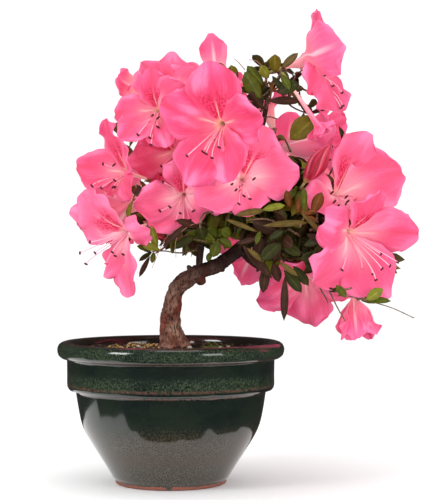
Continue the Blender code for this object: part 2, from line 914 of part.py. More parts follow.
def grow_sprig(name, sprig, mass, nodes, taken, blooms, own, collection):
    """A twig with a whorl of clear leaves, or nothing where too few leaves are clear."""
    tip, way, leaves, length, draws = sprig
    hub = Vector(mass["hub"])
    if not inside_space([tip], hub, mass["space"]):
        return []
    mark = len(nodes)
    twig = grow_twig(
        name, nodes, tip, TWIG_FOOT, TWIG_TIP, taken + blooms, collection
    )
    if not twig:
        return []
    back = (twig_foot(twig) - tip).normalized()
    kept, trees = [], []
    for index, blade in enumerate(leaf_whorl(way, leaves, draws)):
        root = tip + back * LEAF_STEP * index
        leaf = make_leaf(
            name + "_leaf_%d" % index, root, blade, way, length, collection
        )
        corners = [vert.co for vert in leaf.data.vertices]
        clear = inside_space(corners, hub, mass["space"])
        if clear and not touches(leaf, taken + own + trees):
            kept.append(leaf)
            trees.append(tree_of(leaf))
        else:
            bpy.data.objects.remove(leaf, do_unlink=True)
    if len(kept) >= FEWEST_LEAVES:
        return [tree_of(twig)] + trees
    for item in kept + [twig]:
        bpy.data.objects.remove(item, do_unlink=True)
    del nodes[mark:]
    return []


def others_of(trees, name):
    return [tree for other in MASSES if other != name for tree in trees[other]]


def make_masses(parts, material, limbs):
    """All blooms first, so that each mass's twigs and leaves can keep clear of the rest."""
    limb_trees = [tree_of(item) for item in limbs]
    pieces, ends, trees, blooms = {}, {}, {}, {}
    for name, mass in MASSES.items():
        pieces[name] = new_collection(name + "_pieces")
        ends[name], trees[name], blooms[name] = [], [], []
        for key, values in mass["blooms"].items():
            bloom, stalk, end = make_bloom(name + "_bloom_" + key, values, pieces[name])
            ends[name].append(end)
            blooms[name].append(tree_of(bloom))
            trees[name] += [blooms[name][-1], tree_of(stalk)]
        for index, values in enumerate(mass["buds"]):
            bud, end = make_bud(name + "_bud_%d" % index, values, pieces[name])
            ends[name].append(end)
            trees[name].append(tree_of(bud))
    stems, nodes = {}, {}
    for name, mass in MASSES.items():
        end, way, radius = bough_end(BOUGHS[mass["bough"]][1])
        foot = end + way * GAP
        hub = Vector(mass["hub"])
        middle = foot + way * (hub - foot).length * STEM_BEND
        stems[name] = limb(
            name + "_stem",
            (
                (*foot, radius),
                (*middle, radius * STEM_TAPER),
                (*hub, TWIG_FOOT),
            ),
            STEM_SIDES,
            pieces[name],
            spacing=STEM_SPACING,
        )
        trees[name].append(tree_of(stems[name]))
        low, high = STEM_NODES
        nodes[name] = [foot.lerp(middle, low), middle, middle.lerp(hub, high), hub]
    for name, mass in MASSES.items():
        taken = limb_trees + others_of(trees, name)
        hub = Vector(mass["hub"])
        for index, end in enumerate(sorted(ends[name], key=lambda p: (p - hub).length)):
            for avoided in (taken + blooms[name], taken):
                twig = grow_twig(
                    name + "_twig_%d" % index,
                    nodes[name],
                    end,
                    TWIG_FOOT,
                    STALK_RADIUS,
                    avoided,
                    pieces[name],
                )
                if twig:
                    break
            if twig:
                trees[name].append(tree_of(twig))
            else:
                print("no clear way for bloom", index, "of", name)
    for name, mass in MASSES.items():
        taken = limb_trees + others_of(trees, name)
        for number, sprig in enumerate(sprig_rule(mass)):
            trees[name] += grow_sprig(
                name + "_sprig_%d" % number,
                sprig,
                mass,
                nodes[name],
                taken,
                blooms[name],
                trees[name],
                pieces[name],
            )
    for name in MASSES:
        stem = stems[name]
        pieces[name].objects.unlink(stem)
        parts.objects.link(stem)
        mass = fused(stem, pieces[name], name, parts, material, solver="MANIFOLD")
        keep_outer_body(mass)
        bpy.data.collections.remove(pieces[name])


def build():
    clear_scene()
    parts = new_collection("azalea_bonsai")
    cutters = new_collection("cutters")
    cutters.hide_render = True
    extras = new_collection("extras")
    glaze = new_material("dark_green_glaze", (0.012, 0.030, 0.024), 0.12)
    earth = new_material("potting_soil", (0.060, 0.040, 0.028), 0.95)
    bark = new_material("bark", (0.130, 0.070, 0.048), 0.85)
    foliage = new_material("pink_blossom_and_leaves", (0.850, 0.120, 0.300), 0.60)
    make_pot(parts, glaze)
    make_soil(parts, earth)
    trunk = make_trunk(parts, extras, bark)
    boughs = make_boughs(parts, cutters, bark)
    make_masses(parts, foliage, [trunk] + list(boughs.values()))
    bpy.data.collections.remove(extras)


build()
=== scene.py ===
import math
import random

import bmesh
import bpy
from mathutils import Matrix, Vector, noise
from mathutils.bvhtree import BVHTree


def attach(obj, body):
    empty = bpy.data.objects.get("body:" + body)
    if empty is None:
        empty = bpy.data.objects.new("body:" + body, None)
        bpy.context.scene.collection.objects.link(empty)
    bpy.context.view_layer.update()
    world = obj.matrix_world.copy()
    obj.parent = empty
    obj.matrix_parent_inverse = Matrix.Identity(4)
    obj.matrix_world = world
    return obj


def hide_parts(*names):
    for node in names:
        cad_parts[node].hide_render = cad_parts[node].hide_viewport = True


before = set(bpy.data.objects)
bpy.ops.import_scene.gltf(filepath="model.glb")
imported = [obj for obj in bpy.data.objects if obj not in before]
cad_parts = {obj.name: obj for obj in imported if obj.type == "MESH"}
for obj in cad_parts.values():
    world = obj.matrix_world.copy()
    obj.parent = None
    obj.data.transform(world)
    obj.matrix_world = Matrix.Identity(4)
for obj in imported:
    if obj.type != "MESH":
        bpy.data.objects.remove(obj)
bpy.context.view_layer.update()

up = Vector((0.0, 0.0, 1.0))
groundHeight = 0.0883
fullTurn = 2.0 * math.pi


# an operator of a wire, and its reflected form
def operators(operation):
    def forward(self, other):
        return self.paint.calc(operation, self, other)

    def reflected(self, other):
        return self.paint.calc(operation, other, self)

    return forward, reflected


# a socket that can be added, multiplied and compared
class Wire:
    def __init__(self, paint, socket):
        self.paint, self.socket = paint, socket

    def __abs__(self):
        return self.paint.calc("ABSOLUTE", self)

    __add__, __radd__ = operators("ADD")
    __sub__, __rsub__ = operators("SUBTRACT")
    __mul__, __rmul__ = operators("MULTIPLY")
    __truediv__, __rtruediv__ = operators("DIVIDE")
    __pow__, __rpow__ = operators("POWER")
    __lt__ = operators("LESS_THAN")[0]


class Paint:
    def __init__(self, name):
        self.material = bpy.data.materials.new(name)
        self.material.use_nodes = True
        self.tree = self.material.node_tree

    def node(self, kind, settings={}, sockets={}, out=0):
        made = self.tree.nodes.new(kind)
        for key, value in settings.items():
            if key == "stops":
                ramp = made.color_ramp
                while len(ramp.elements) < len(value):
                    ramp.elements.new(1.0)
                for element, (at, colour) in zip(ramp.elements, value):
                    element.position = at
                    element.color = colour
            else:
                setattr(made, key, value)
        for key, value in sockets.items():
            self.feed(made.inputs[key], value)
        return Wire(self, made.outputs[out])

    def feed(self, socket, value):
        if isinstance(value, Wire):
            self.tree.links.new(value.socket, socket)
        else:
            socket.default_value = value

    def calc(self, operation, first, second=0.0):
        return self.node("ShaderNodeMath", {"operation": operation}, {0: first, 1: second})

    # colours laid over the first, each by its share
    def laid(self, colour, *coats):
        for share, over in coats:
            sockets = {0: share, 6: colour, 7: over}
            colour = self.node("ShaderNodeMix", {"data_type": "RGBA"}, sockets, out=2)
        return colour

    def ramp(self, value, *stops):
        return self.node("ShaderNodeValToRGB", {"stops": stops}, {0: value})

    # 0 before the first value, 1 past the second
    def fade(self, value, low, high):
        sockets = {0: value, 1: low, 2: high, 3: 0.0, 4: 1.0}
        return self.node("ShaderNodeMapRange", {"interpolation_type": "SMOOTHSTEP"}, sockets)

    def parts(self, vector):
        return [self.node("ShaderNodeSeparateXYZ", {}, {0: vector}, out=k) for k in range(3)]

    def layer(self, name):
        return self.parts(self.node("ShaderNodeUVMap", {"uv_map": name}))

    def joined(self, x, y, z=0.0):
        return self.node("ShaderNodeCombineXYZ", {}, {0: x, 1: y, 2: z})

    def place(self):
        return self.node("ShaderNodeTexCoord", out=3)

    def cloud(self, vector, scale, detail=3.0, rough=0.5):
        sockets = {"Vector": vector, "Scale": scale, "Detail": detail, "Roughness": rough}
        return self.node("ShaderNodeTexNoise", {}, sockets)

    def cells(self, vector, scale, out=0, **settings):
        return self.node("ShaderNodeTexVoronoi", settings, {"Vector": vector, "Scale": scale}, out)

    def bump(self, height, strength, distance):
        sockets = {"Strength": strength, "Distance": distance, "Height": height}
        return self.node("ShaderNodeBump", {}, sockets)

    def finish(self, **sockets):
        for key, value in sockets.items():
            self.feed(self.tree.nodes["Principled BSDF"].inputs[key.replace("_", " ")], value)
        return self.material


# a screen colour, 0 to 255, as Blender's linear one
def tint(red, green, blue):
    rows = [c / 255.0 for c in (red, green, blue)]
    return (*[c / 12.92 if c <= 0.04045 else ((c + 0.055) / 1.055) ** 2.4 for c in rows], 1.0)


def plainPaint(name, colour, rough):
    return Paint(name).finish(Base_Color=colour, Roughness=rough)


# millimetres, alone or in rows, as metres
def metres(item):
    return item / 1000.0 if isinstance(item, (int, float)) else tuple(metres(part) for part in item)


def clamp(value, low=0.0, high=1.0):
    return max(low, min(high, value))


def smooth(value, low, high):
    t = clamp((value - low) / (high - low))
    return t * t * (3.0 - 2.0 * t)


# a value eased between (at, value) stops
def along(stops, at):
    for (a0, v0), (a1, v1) in zip(stops, stops[1:]):
        if at <= a1:
            return v0 + (v1 - v0) * smooth(at, a0, a1)
    return stops[-1][1]


# the camera stands a metre in front, level with the lower crown
eyeX, eyeZ = 0.0309, 0.157
eye = Vector((eyeX, -1.0, eyeZ))
dotSize = 0.000665
middleDot = (217.5, 245.7)


# where a point shows in the picture, in dots from its top left corner
def seenAt(point):
    dot = dotSize * (1.0 + point.y)
    return middleDot[0] + (point.x - eyeX) / dot, middleDot[1] - (point.z - eyeZ) / dot


# the point at depth y that shows at that dot
def pointAt(across, down, y):
    dot = dotSize * (1.0 + y)
    return Vector((eyeX + (across - middleDot[0]) * dot, y, eyeZ - (down - middleDot[1]) * dot))


def newPiece(name, bm, materials, nodes=()):
    mesh = bpy.data.meshes.new(name)
    bm.to_mesh(mesh)
    bm.free()
    for material in materials:
        mesh.materials.append(material)
    made = bpy.data.objects.new(name, mesh)
    bpy.context.scene.collection.objects.link(made)
    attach(made, "root")
    if nodes:
        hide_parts(*nodes)
    return made


# gives a leaf or petal its wall; the far side takes the next material
def wall(item, thickness):
    shell = item.modifiers.new("wall", "SOLIDIFY")
    shell.thickness = thickness
    shell.offset = 0.0
    shell.material_offset = 1
    shell.material_offset_rim = 1


# the new faces round some vertices, shaded smooth and given a material
def facesOf(verts, material=0, shadeSmooth=True):
    faces = list({face for vert in verts for face in vert.link_faces})
    for face in faces:
        face.smooth = shadeSmooth
        face.material_index = material
    return faces


def newGrid(bm, columns, rows):
    return bmesh.ops.create_grid(bm, x_segments=columns, y_segments=rows, size=1.0)["verts"]


# a grid point's place across and along, 0 to 1
def onGrid(vert):
    return (vert.co.x + 1.0) / 2.0, (vert.co.y + 1.0) / 2.0


# points along a smooth curve through knots of x, y, z and radius
def smoothKnots(knots, spacing):
    rows = [Vector(knot) for knot in knots]
    rows = [2 * rows[0] - rows[1]] + rows + [2 * rows[-1] - rows[-2]]
    path = [rows[1]]
    for before, start, end, after in zip(rows, rows[1:], rows[2:], rows[3:]):
        steps = max(1, round((end.xyz - start.xyz).length / spacing))
        for step in range(1, steps + 1):
            t = step / steps
            bend = (2 * before - 5 * start + 4 * end - after) * t * t
            turn = (3 * start - before - 3 * end + after) * t * t * t
            path.append(0.5 * (2 * start + (end - before) * t + bend + turn))
    return path


# a round tube through knots, made from a grid; relief(point, out, share) gives the extra radius
def tube(bm, knots, spacing, around, relief=None, material=0):
    path = smoothKnots(knots, spacing)
    last = len(path) - 1
    ways = []
    for index in range(last + 1):
        before, after = path[max(0, index - 1)].xyz, path[min(last, index + 1)].xyz
        ways.append((after - before).normalized())
    side = ways[0].orthogonal().normalized()
    sides = []
    for way in ways:
        side = (side - way * side.dot(way)).normalized()
        sides.append(side)
    made = newGrid(bm, around, last)
    layer = bm.loops.layers.uv.verify()
    faces = facesOf(made, material)
    for face in faces:
        for loop in face.loops:
            loop[layer].uv = onGrid(loop.vert)
    for vert in made:
        turn, run = onGrid(vert)
        row = round(run * last)
        angle = fullTurn * turn
        out = sides[row] * math.cos(angle) + ways[row].cross(sides[row]) * math.sin(angle)
        vert.co = path[row].xyz + out * path[row].w
        if relief:
            vert.co += out * relief(vert.co.copy(), out, row / last)
    bmesh.ops.remove_doubles(bm, verts=made, dist=0.000002)
    faces = [face for face in faces if face.is_valid]
    rim = [edge for edge in {e for f in faces for e in f.edges} if len(edge.link_faces) == 1]
    caps = bmesh.ops.holes_fill(bm, edges=rim, sides=around + 2)["faces"]
    for face in caps:
        face.material_index = material
        face.smooth = True
    bmesh.ops.recalc_face_normals(bm, faces=faces + caps)
    return path


def spherical(heading, rise):
    turn, lift = math.radians(heading), math.radians(rise)
    return Vector((math.cos(turn) * math.cos(lift), math.sin(turn) * math.cos(lift), math.sin(lift)))


# bark: the trunk and every bough as one set of limbs with ridges, knobs and a flared foot

barkLook = {
    "trunkAround": 44, "boughAround": 18, "rowSpacing": 0.0009,
    "ridge": 0.00055, "flake": 0.00028, "lump": 0.001,
    "flareReach": 0.0042, "flareHeight": 0.01, "flareHeadings": (-12, 62, 128, 196, 262, 318),
    "grey": tint(164, 126, 106), "brown": tint(122, 72, 54), "red": tint(132, 60, 44),
    "upper": tint(38, 17, 13), "crack": tint(44, 24, 20),
}

# knots in millimetres: x, y, z and radius
trunkKnots = metres((
    (3, 0, 80, 7.8), (2.2, 0, 90.5, 7), (0.2, 0.4, 100, 6.1), (-0.2, 0.6, 109, 5.8), (1, 0.4, 119, 5.4),
    (3.2, 0, 127.5, 5.3), (8.8, -0.6, 133.5, 5.2), (17, -0.8, 138.5, 5), (26.5, -0.4, 142.2, 4.7),
    (34.5, 0.4, 146.2, 4.4), (41.2, 0.8, 151, 4.2), (46.4, 0.6, 155.6, 4), (49.6, 0, 160.6, 3.6),
    (49, 1.2, 170, 3), (48.2, 2.6, 180, 2.7), (50.8, 3, 196, 2.3), (55.6, 3, 216, 2), (60.6, 3, 236, 1.7),
    (63, 3, 248, 1.5),
))

# cut stubs and knobs in millimetres: foot, tip, radius at foot and tip
stubs = metres((
    ((16, -1, 137.2), (11, -3, 143.6), 2.4, 1.3), ((19, -1, 136.2), (21.2, -2, 131.2), 4.2, 2.2),
    ((0, 0, 110), (-5.6, -2.6, 111.8), 2.8, 1.4), ((38, 0.4, 148), (35.2, -4, 150.6), 2.2, 1.2),
    ((-2, -2, 107.6), (-2.2, -6.6, 107.9), 2.7, 1.7), ((6, 0.4, 129), (5, -5.2, 128.2), 2.6, 1.4),
    ((31, 0.4, 144), (35, -1, 140), 3, 1.2),
))

boughKnots = {
    "crown_left": ((50, 2.6, 187, 2.2), (40, 0, 193, 2), (30, -5, 202, 1.8), (22, -8, 212, 1.5)),
    "far_left": (
        (18.4, -0.4, 137.6, 2.4), (19, -1.4, 148, 2.1), (20.4, -3, 159, 1.9), (17.6, -4, 166.8, 1.7),
        (9, -5, 173, 1.5),
    ),
    "front": ((48.6, 2, 176, 2), (47, -6, 178, 1.8), (44, -12, 180, 1.5)),
    "right": (
        (47, 0, 156.8, 2.9), (58, -3, 160, 2.6), (70, -5, 166, 2.3), (80, -6, 174, 2), (85, -6, 184, 1.7),
    ),
    "low_right": ((71, -5, 166.4, 1.9), (80, -10, 163, 1.7), (89, -14, 160, 1.5)),
    "hanging": (
        (45.2, -0.6, 154.5, 2.6), (52, -3, 147.8, 2.4), (59, -4, 142.8, 2.1), (65, -2, 139.8, 1.7),
    ),
    "back_right": ((48.8, 1, 169, 2.4), (56, 11, 173, 2.1), (65, 20, 179, 1.8), (71, 28, 185, 1.5)),
    "back_left": ((48.4, 2.4, 179, 2.3), (40, 12, 183, 2), (30, 22, 189, 1.8), (24, 30, 196, 1.5)),
}
boughKnots = {name: metres(knots) for name, knots in boughKnots.items()}
boughKnots["top"] = trunkKnots[-3:]


# ridges that run along the limb, with lumps and small flakes
def barkRelief(spot, size):
    look = barkLook
    wide = Vector((spot.x * 520, spot.y * 520, spot.z * 130))
    ridge = 1.0 - abs(noise.noise(wide)) * 3.0
    flake = noise.noise(spot * 1400.0)
    lump = noise.noise(spot * 150.0 + Vector((3, 7, 1)))
    return size * (look["ridge"] * max(ridge, -0.6) + look["flake"] * flake + look["lump"] * lump)


def trunkRelief(spot, out, share):
    look = barkLook
    extra = barkRelief(spot, clamp(1.35 - share * 1.2, 0.3, 1.0))
    height = spot.z - groundHeight
    if height < 0.03:
        heading = math.atan2(out.y, out.x)
        ridge = max(math.cos(heading - math.radians(root)) ** 9 for root in look["flareHeadings"])
        ridge = max(0.0, ridge)
        extra += look["flareReach"] * (0.25 + 0.9 * ridge) * math.exp(-height / look["flareHeight"])
    return extra


def makeBark():
    look = barkLook
    spacing, around = look["rowSpacing"], look["boughAround"]
    bm = bmesh.new()
    tube(bm, trunkKnots, spacing, look["trunkAround"], trunkRelief)
    cut = bmesh.ops.bisect_plane(
        bm,
        geom=bm.verts[:] + bm.edges[:] + bm.faces[:],
        plane_co=(0.0, 0.0, groundHeight - 0.0002),
        plane_no=(0.0, 0.0, -1.0),
        clear_outer=True,
    )
    edges = [item for item in cut["geom_cut"] if isinstance(item, bmesh.types.BMEdge)]
    bmesh.ops.holes_fill(bm, edges=edges)
    names = [name for name in boughKnots if name != "top"]
    for name in names:
        knots = boughKnots[name]
        first, second = Vector(knots[0]), Vector(knots[1])
        collar = first.lerp(second, 0.12)
        collar.w = first.w * 1.35
        rows = (collar, first.lerp(second, 0.35), *knots[1:])
        tube(bm, rows, spacing * 1.4, around, lambda p, o, s: barkRelief(p, 0.45))
    for foot, tip, wide, narrow in stubs:
        foot, tip = Vector(foot), Vector(tip)
        rows = [(*foot.lerp(tip, t), wide + (narrow - wide) * t ** 1.5) for t in (0.0, 0.5, 0.9)]
        rows.append((*foot.lerp(tip, 1.02), narrow * 0.55))
        tube(bm, rows, spacing, around, lambda p, o, s: barkRelief(p, 0.6))
    paint = Paint("bark")
    spot = paint.place()
    x, y, z = paint.parts(spot)
    grain = paint.cloud(paint.joined(x, y, z * 0.3), 900.0, 5.0, 0.65)
    colour = paint.laid(
        look["brown"],
        (paint.fade(paint.cloud(spot, 120.0), 0.4, 0.62), look["grey"]),
        (paint.fade(paint.cloud(spot, 75.0), 0.5, 0.66), look["red"]),
        (paint.fade(z, 0.112, 0.15) * 0.92, look["upper"]),
        (paint.fade(grain, 0.56, 0.36), look["crack"]),
    )
    material = paint.finish(Base_Color=colour, Roughness=0.86, Normal=paint.bump(grain, 0.8, 0.0007))
    nodes = ("trunk", "leader_bough", *[name + "_bough" for name in names])
    newPiece("bark", bm, [material], nodes)


makeBark()
print("bark made")


# pot: one turned wall with a rolled rim, a straight collar, a ledge and a bare foot

potLook = {
    "steps": 144, "rowLength": 0.0016, "cells": 760.0, "gloss": 0.14, "clayRough": 0.65, "uneven": 0.00022,
    "collarBand": ((0.064, 0.066), (0.076, 0.07)), "rimBand": ((0.0835, 0.086), (0.0936, 0.0915)),
    "seams": ((0.0655, 0.0016, 0.0), (0.0612, 0.0016, 0.0004), (0.0832, 0.0014, 0.0002)),
    "lipTop": (0.0924, 0.0935), "belly": (0.044, 0.03), "mottled": (0.05, 0.026), "innerFrom": (0.07, 0.08),
    "ringHeight": 0.02, "ringWidth": (0.005, 0.002), "bareHeight": 0.004, "dripAt": -1.58,
    "black": tint(8, 20, 20), "green": tint(18, 28, 22), "crackle": tint(62, 74, 54),
    "warm": tint(48, 34, 26), "mottle": tint(92, 88, 74), "brown": tint(62, 40, 26),
    "edgeReflection": tint(92, 62, 54), "inside": tint(34, 22, 18), "clay": tint(140, 84, 70),
}

# radius and height in millimetres; each run is smooth, and the runs meet at the pot's corners
potRuns = (
    ((0, 6), (34, 6)),
    ((34, 6), (41, 15), (50.5, 30), (56, 47), (58.4, 64)),
    ((58.4, 64), (64, 80), (65.6, 90.5)),
    ((65.6, 90.5), (67.6, 92.9), (71, 93.5), (74.1, 91.9), (75.3, 88.7), (74.5, 84.9), (72.2, 82.9)),
    ((72.2, 82.9), (70, 82.5), (68.9, 81.8)),
    ((68.9, 81.8), (68.8, 72), (68.8, 66), (68.4, 63.6), (67.4, 62.2)),
    ((67.4, 62.2), (63.2, 61.2)),
    ((63.2, 61.2), (61, 48.7), (58.9, 39.4), (55.6, 31.5), (49.5, 21.3), (43, 11.2), (38.6, 4.1)),
    ((38.6, 4.1), (37.6, 3.4), (37, 2.7)),
    ((37, 2.7), (36.8, 0.6), (36.2, 0)),
    ((36.2, 0), (0, 0)),
)


def turnedShape(runs, rowLength, steps):
    points = []
    for run in metres(runs):
        path = smoothKnots([(r, 0.0, z, 0.0) for r, z in run], rowLength)
        points += path[1 if points else 0 :]
    bm = bmesh.new()
    verts = [bm.verts.new((max(point.x, 0.0), 0.0, point.z)) for point in points]
    edges = [bm.edges.new(pair) for pair in zip(verts, verts[1:])]
    zero = (0.0, 0.0, 0.0)
    bmesh.ops.spin(
        bm, geom=verts + edges, cent=zero, axis=up, dvec=zero, angle=fullTurn, steps=steps, use_merge=True
    )
    bmesh.ops.remove_doubles(bm, verts=bm.verts, dist=0.00001)
    bmesh.ops.recalc_face_normals(bm, faces=bm.faces)
    for face in bm.faces:
        face.smooth = True
    return bm


def makePot():
    look = potLook
    bm = turnedShape(potRuns, look["rowLength"], look["steps"])
    for vert in bm.verts:
        away = Vector((vert.co.x, vert.co.y, 0.0))
        if 0.003 < vert.co.z < 0.0895 and away.length > 0.04:
            uneven = math.sin(vert.co.x * 60.0 + 1.0) * math.sin(vert.co.z * 110.0 + vert.co.y * 50.0)
            vert.co += away.normalized() * uneven * look["uneven"] * smooth(vert.co.z, 0.003, 0.012)
    paint = Paint("glaze")
    fade = paint.fade
    spot = paint.place()
    x, y, z = paint.parts(spot)
    around = paint.calc("ARCTAN2", y, x)
    reach = (x * x + y * y) ** 0.5
    cloud = paint.cloud(spot, 34.0, 4.0, 0.6)
    fine = paint.cloud(spot, 420.0, 3.0, 0.6)
    specks = paint.cloud(spot, 1000.0, 3.0, 0.6)
    cracks = paint.cells(spot, look["cells"], feature="DISTANCE_TO_EDGE")
    chance = paint.parts(paint.cells(spot, look["cells"], out=1))[0]
    bands = (look["collarBand"], look["rimBand"])
    lowCollar, rimBand = (fade(z, *rise) * fade(z, *fall) for rise, fall in bands)
    dapple = fade(cracks, 0.02, 0.14) * (chance * 0.75 + 0.25) * fade(cloud, 0.2, 0.46)
    ring = fade(abs(z - look["ringHeight"] + (cloud - 0.5) * 0.008), *look["ringWidth"])
    # the rim top, the underside of the rim and the ledge edges carry a painted reflection as pale brown
    # lines
    lip = fade(z, *look["lipTop"])
    for height, wide, narrow in look["seams"]:
        lip = lip + fade(abs(z - height), wide, narrow)
    ragged = paint.cloud(paint.joined(around * 3.0, z * 40.0), 1.7, 4.0, 0.6)
    drip = fade(abs(around - look["dripAt"]), 0.07, 0.02) * 0.0022
    bare = (z + drip) < (ragged * look["bareHeight"])
    colour = paint.laid(
        look["black"],
        (fade(cloud, 0.4, 0.62), look["green"]),
        (fade(z, *look["belly"]) * 0.8, look["warm"]),
        (fade(z, *look["mottled"]) * fade(specks, 0.44, 0.62) * 0.5, look["mottle"]),
        (ring * 0.5, look["brown"]),
        ((lowCollar * 0.85 + rimBand * 0.8 + 0.2) * dapple, look["crackle"]),
        # painted reflection along the rim top, under the rim and at the ledge
        (lip * fade(reach, 0.055, 0.06) * fade(fine, 0.35, 0.6) * 0.75, look["edgeReflection"]),
        (fade(reach, 0.069, 0.0668) * fade(z, *look["innerFrom"]) * 0.85, look["inside"]),
        (bare, look["clay"]),
    )
    material = paint.finish(
        Base_Color=colour,
        Roughness=look["gloss"] + bare * look["clayRough"],
        Coat_Weight=(1.0 - bare) * 0.6,
        Coat_Roughness=0.06,
        Normal=paint.bump(paint.cloud(spot, 70.0, 2.0), 0.06, 0.001),
    )
    newPiece("potWall", bm, [material], ("pot",))


makePot()
print("pot made")


# soil: a rough disc that fills the pot, with grains, crumbs and moss lying on it

soilLook = {
    "top": 0.088, "reach": 0.063, "grains": 1500, "grainSize": (0.0005, 0.0013), "moundReach": 0.022,
    "ochrePatch": (-0.044, -0.004), "mossPatch": (0.02, 0.042), "stoneEvery": 90, "stoneSize": 0.0018,
    "dark": tint(38, 26, 20), "brown": tint(76, 52, 38), "ochre": tint(196, 160, 96),
    "moss": tint(92, 110, 42), "stone": tint(178, 172, 160),
}
soilRuns = (
    ((0, 88), (64, 88)),
    ((64, 88), (63.4, 80), (58.1, 64.3), (55.7, 47.3), (50.2, 30.3)),
    ((50.2, 30.3), (40.7, 15.3), (33.7, 6.3)),
    ((33.7, 6.3), (0, 6.3)),
)


def soilTop(x, y):
    wide = soilLook["moundReach"]
    rough = noise.noise(Vector((x, y, 0.0)) * 130.0) * 0.0008
    mound = 0.0016 * math.exp(-((x / wide) ** 2 + (y / wide) ** 2))
    return soilLook["top"] + rough + mound


def makeSoil():
    look = soilLook
    bm = turnedShape(soilRuns, 0.0022, 96)
    for vert in bm.verts:
        if vert.co.z > look["top"] - 0.0001:
            vert.co.z = soilTop(vert.co.x, vert.co.y)
    draw = random.Random(5)
    for index in range(look["grains"]):
        heading, reach = draw.uniform(0.0, fullTurn), look["reach"] * draw.random() ** 0.5
        x, y = reach * math.cos(heading), reach * math.sin(heading)
        size = draw.uniform(*look["grainSize"])
        kind = draw.choice((1, 1, 2))
        if look["ochrePatch"][0] < x < look["ochrePatch"][1] and y > -0.01:
            kind = draw.choice((3, 3, 2, 1))
            size *= 0.7
        elif look["mossPatch"][0] < x < look["mossPatch"][1] and draw.random() < 0.6:
            kind = draw.choice((4, 4, 2))
        if index % look["stoneEvery"] == 0:
            kind, size = 5, look["stoneSize"]
        lump = bmesh.ops.create_icosphere(bm, subdivisions=1, radius=size)["verts"]
        stretch = Vector((draw.uniform(0.7, 1.3), draw.uniform(0.7, 1.3), draw.uniform(0.6, 1.0)))
        turn = Matrix.Rotation(draw.uniform(0.0, 6.28), 3, "Z")
        lift = soilTop(x, y) + size * draw.uniform(0.1, 0.6)
        for vert in lump:
            own = 1.0 + 0.25 * noise.noise(vert.co * 900.0 + Vector((index, 0.0, 0.0)))
            vert.co = turn @ (vert.co * stretch * own) + Vector((x, y, lift))
        facesOf(lump, kind, False)
    paint = Paint("earth")
    grain = paint.cloud(paint.place(), 700.0, 5.0, 0.7)
    colour = paint.laid(look["dark"], (paint.fade(grain, 0.38, 0.62), look["brown"]))
    earth = paint.finish(Base_Color=colour, Roughness=0.95, Normal=paint.bump(grain, 0.8, 0.0008))
    names = ("dark", "brown", "ochre", "moss", "stone")
    others = [plainPaint("grain_" + name, look[name], 0.9) for name in names]
    newPiece("earthAndGrains", bm, [earth, *others], ("soil",))


makeSoil()
print("soil made")


# the nine masses: the end of the bough that carries each, its hub, the half axes of its space,
# its seed, how many sprigs its rule tries, its blooms, its buds and its placed sprigs.
# A bloom is throat x, y, z, facing round from -Y and up, roll, size, spread and tube length.
# A bud is foot, tip and radius. A sprig is tip, heading and rise, number of leaves and leaf length.
# Places and lengths are millimetres.

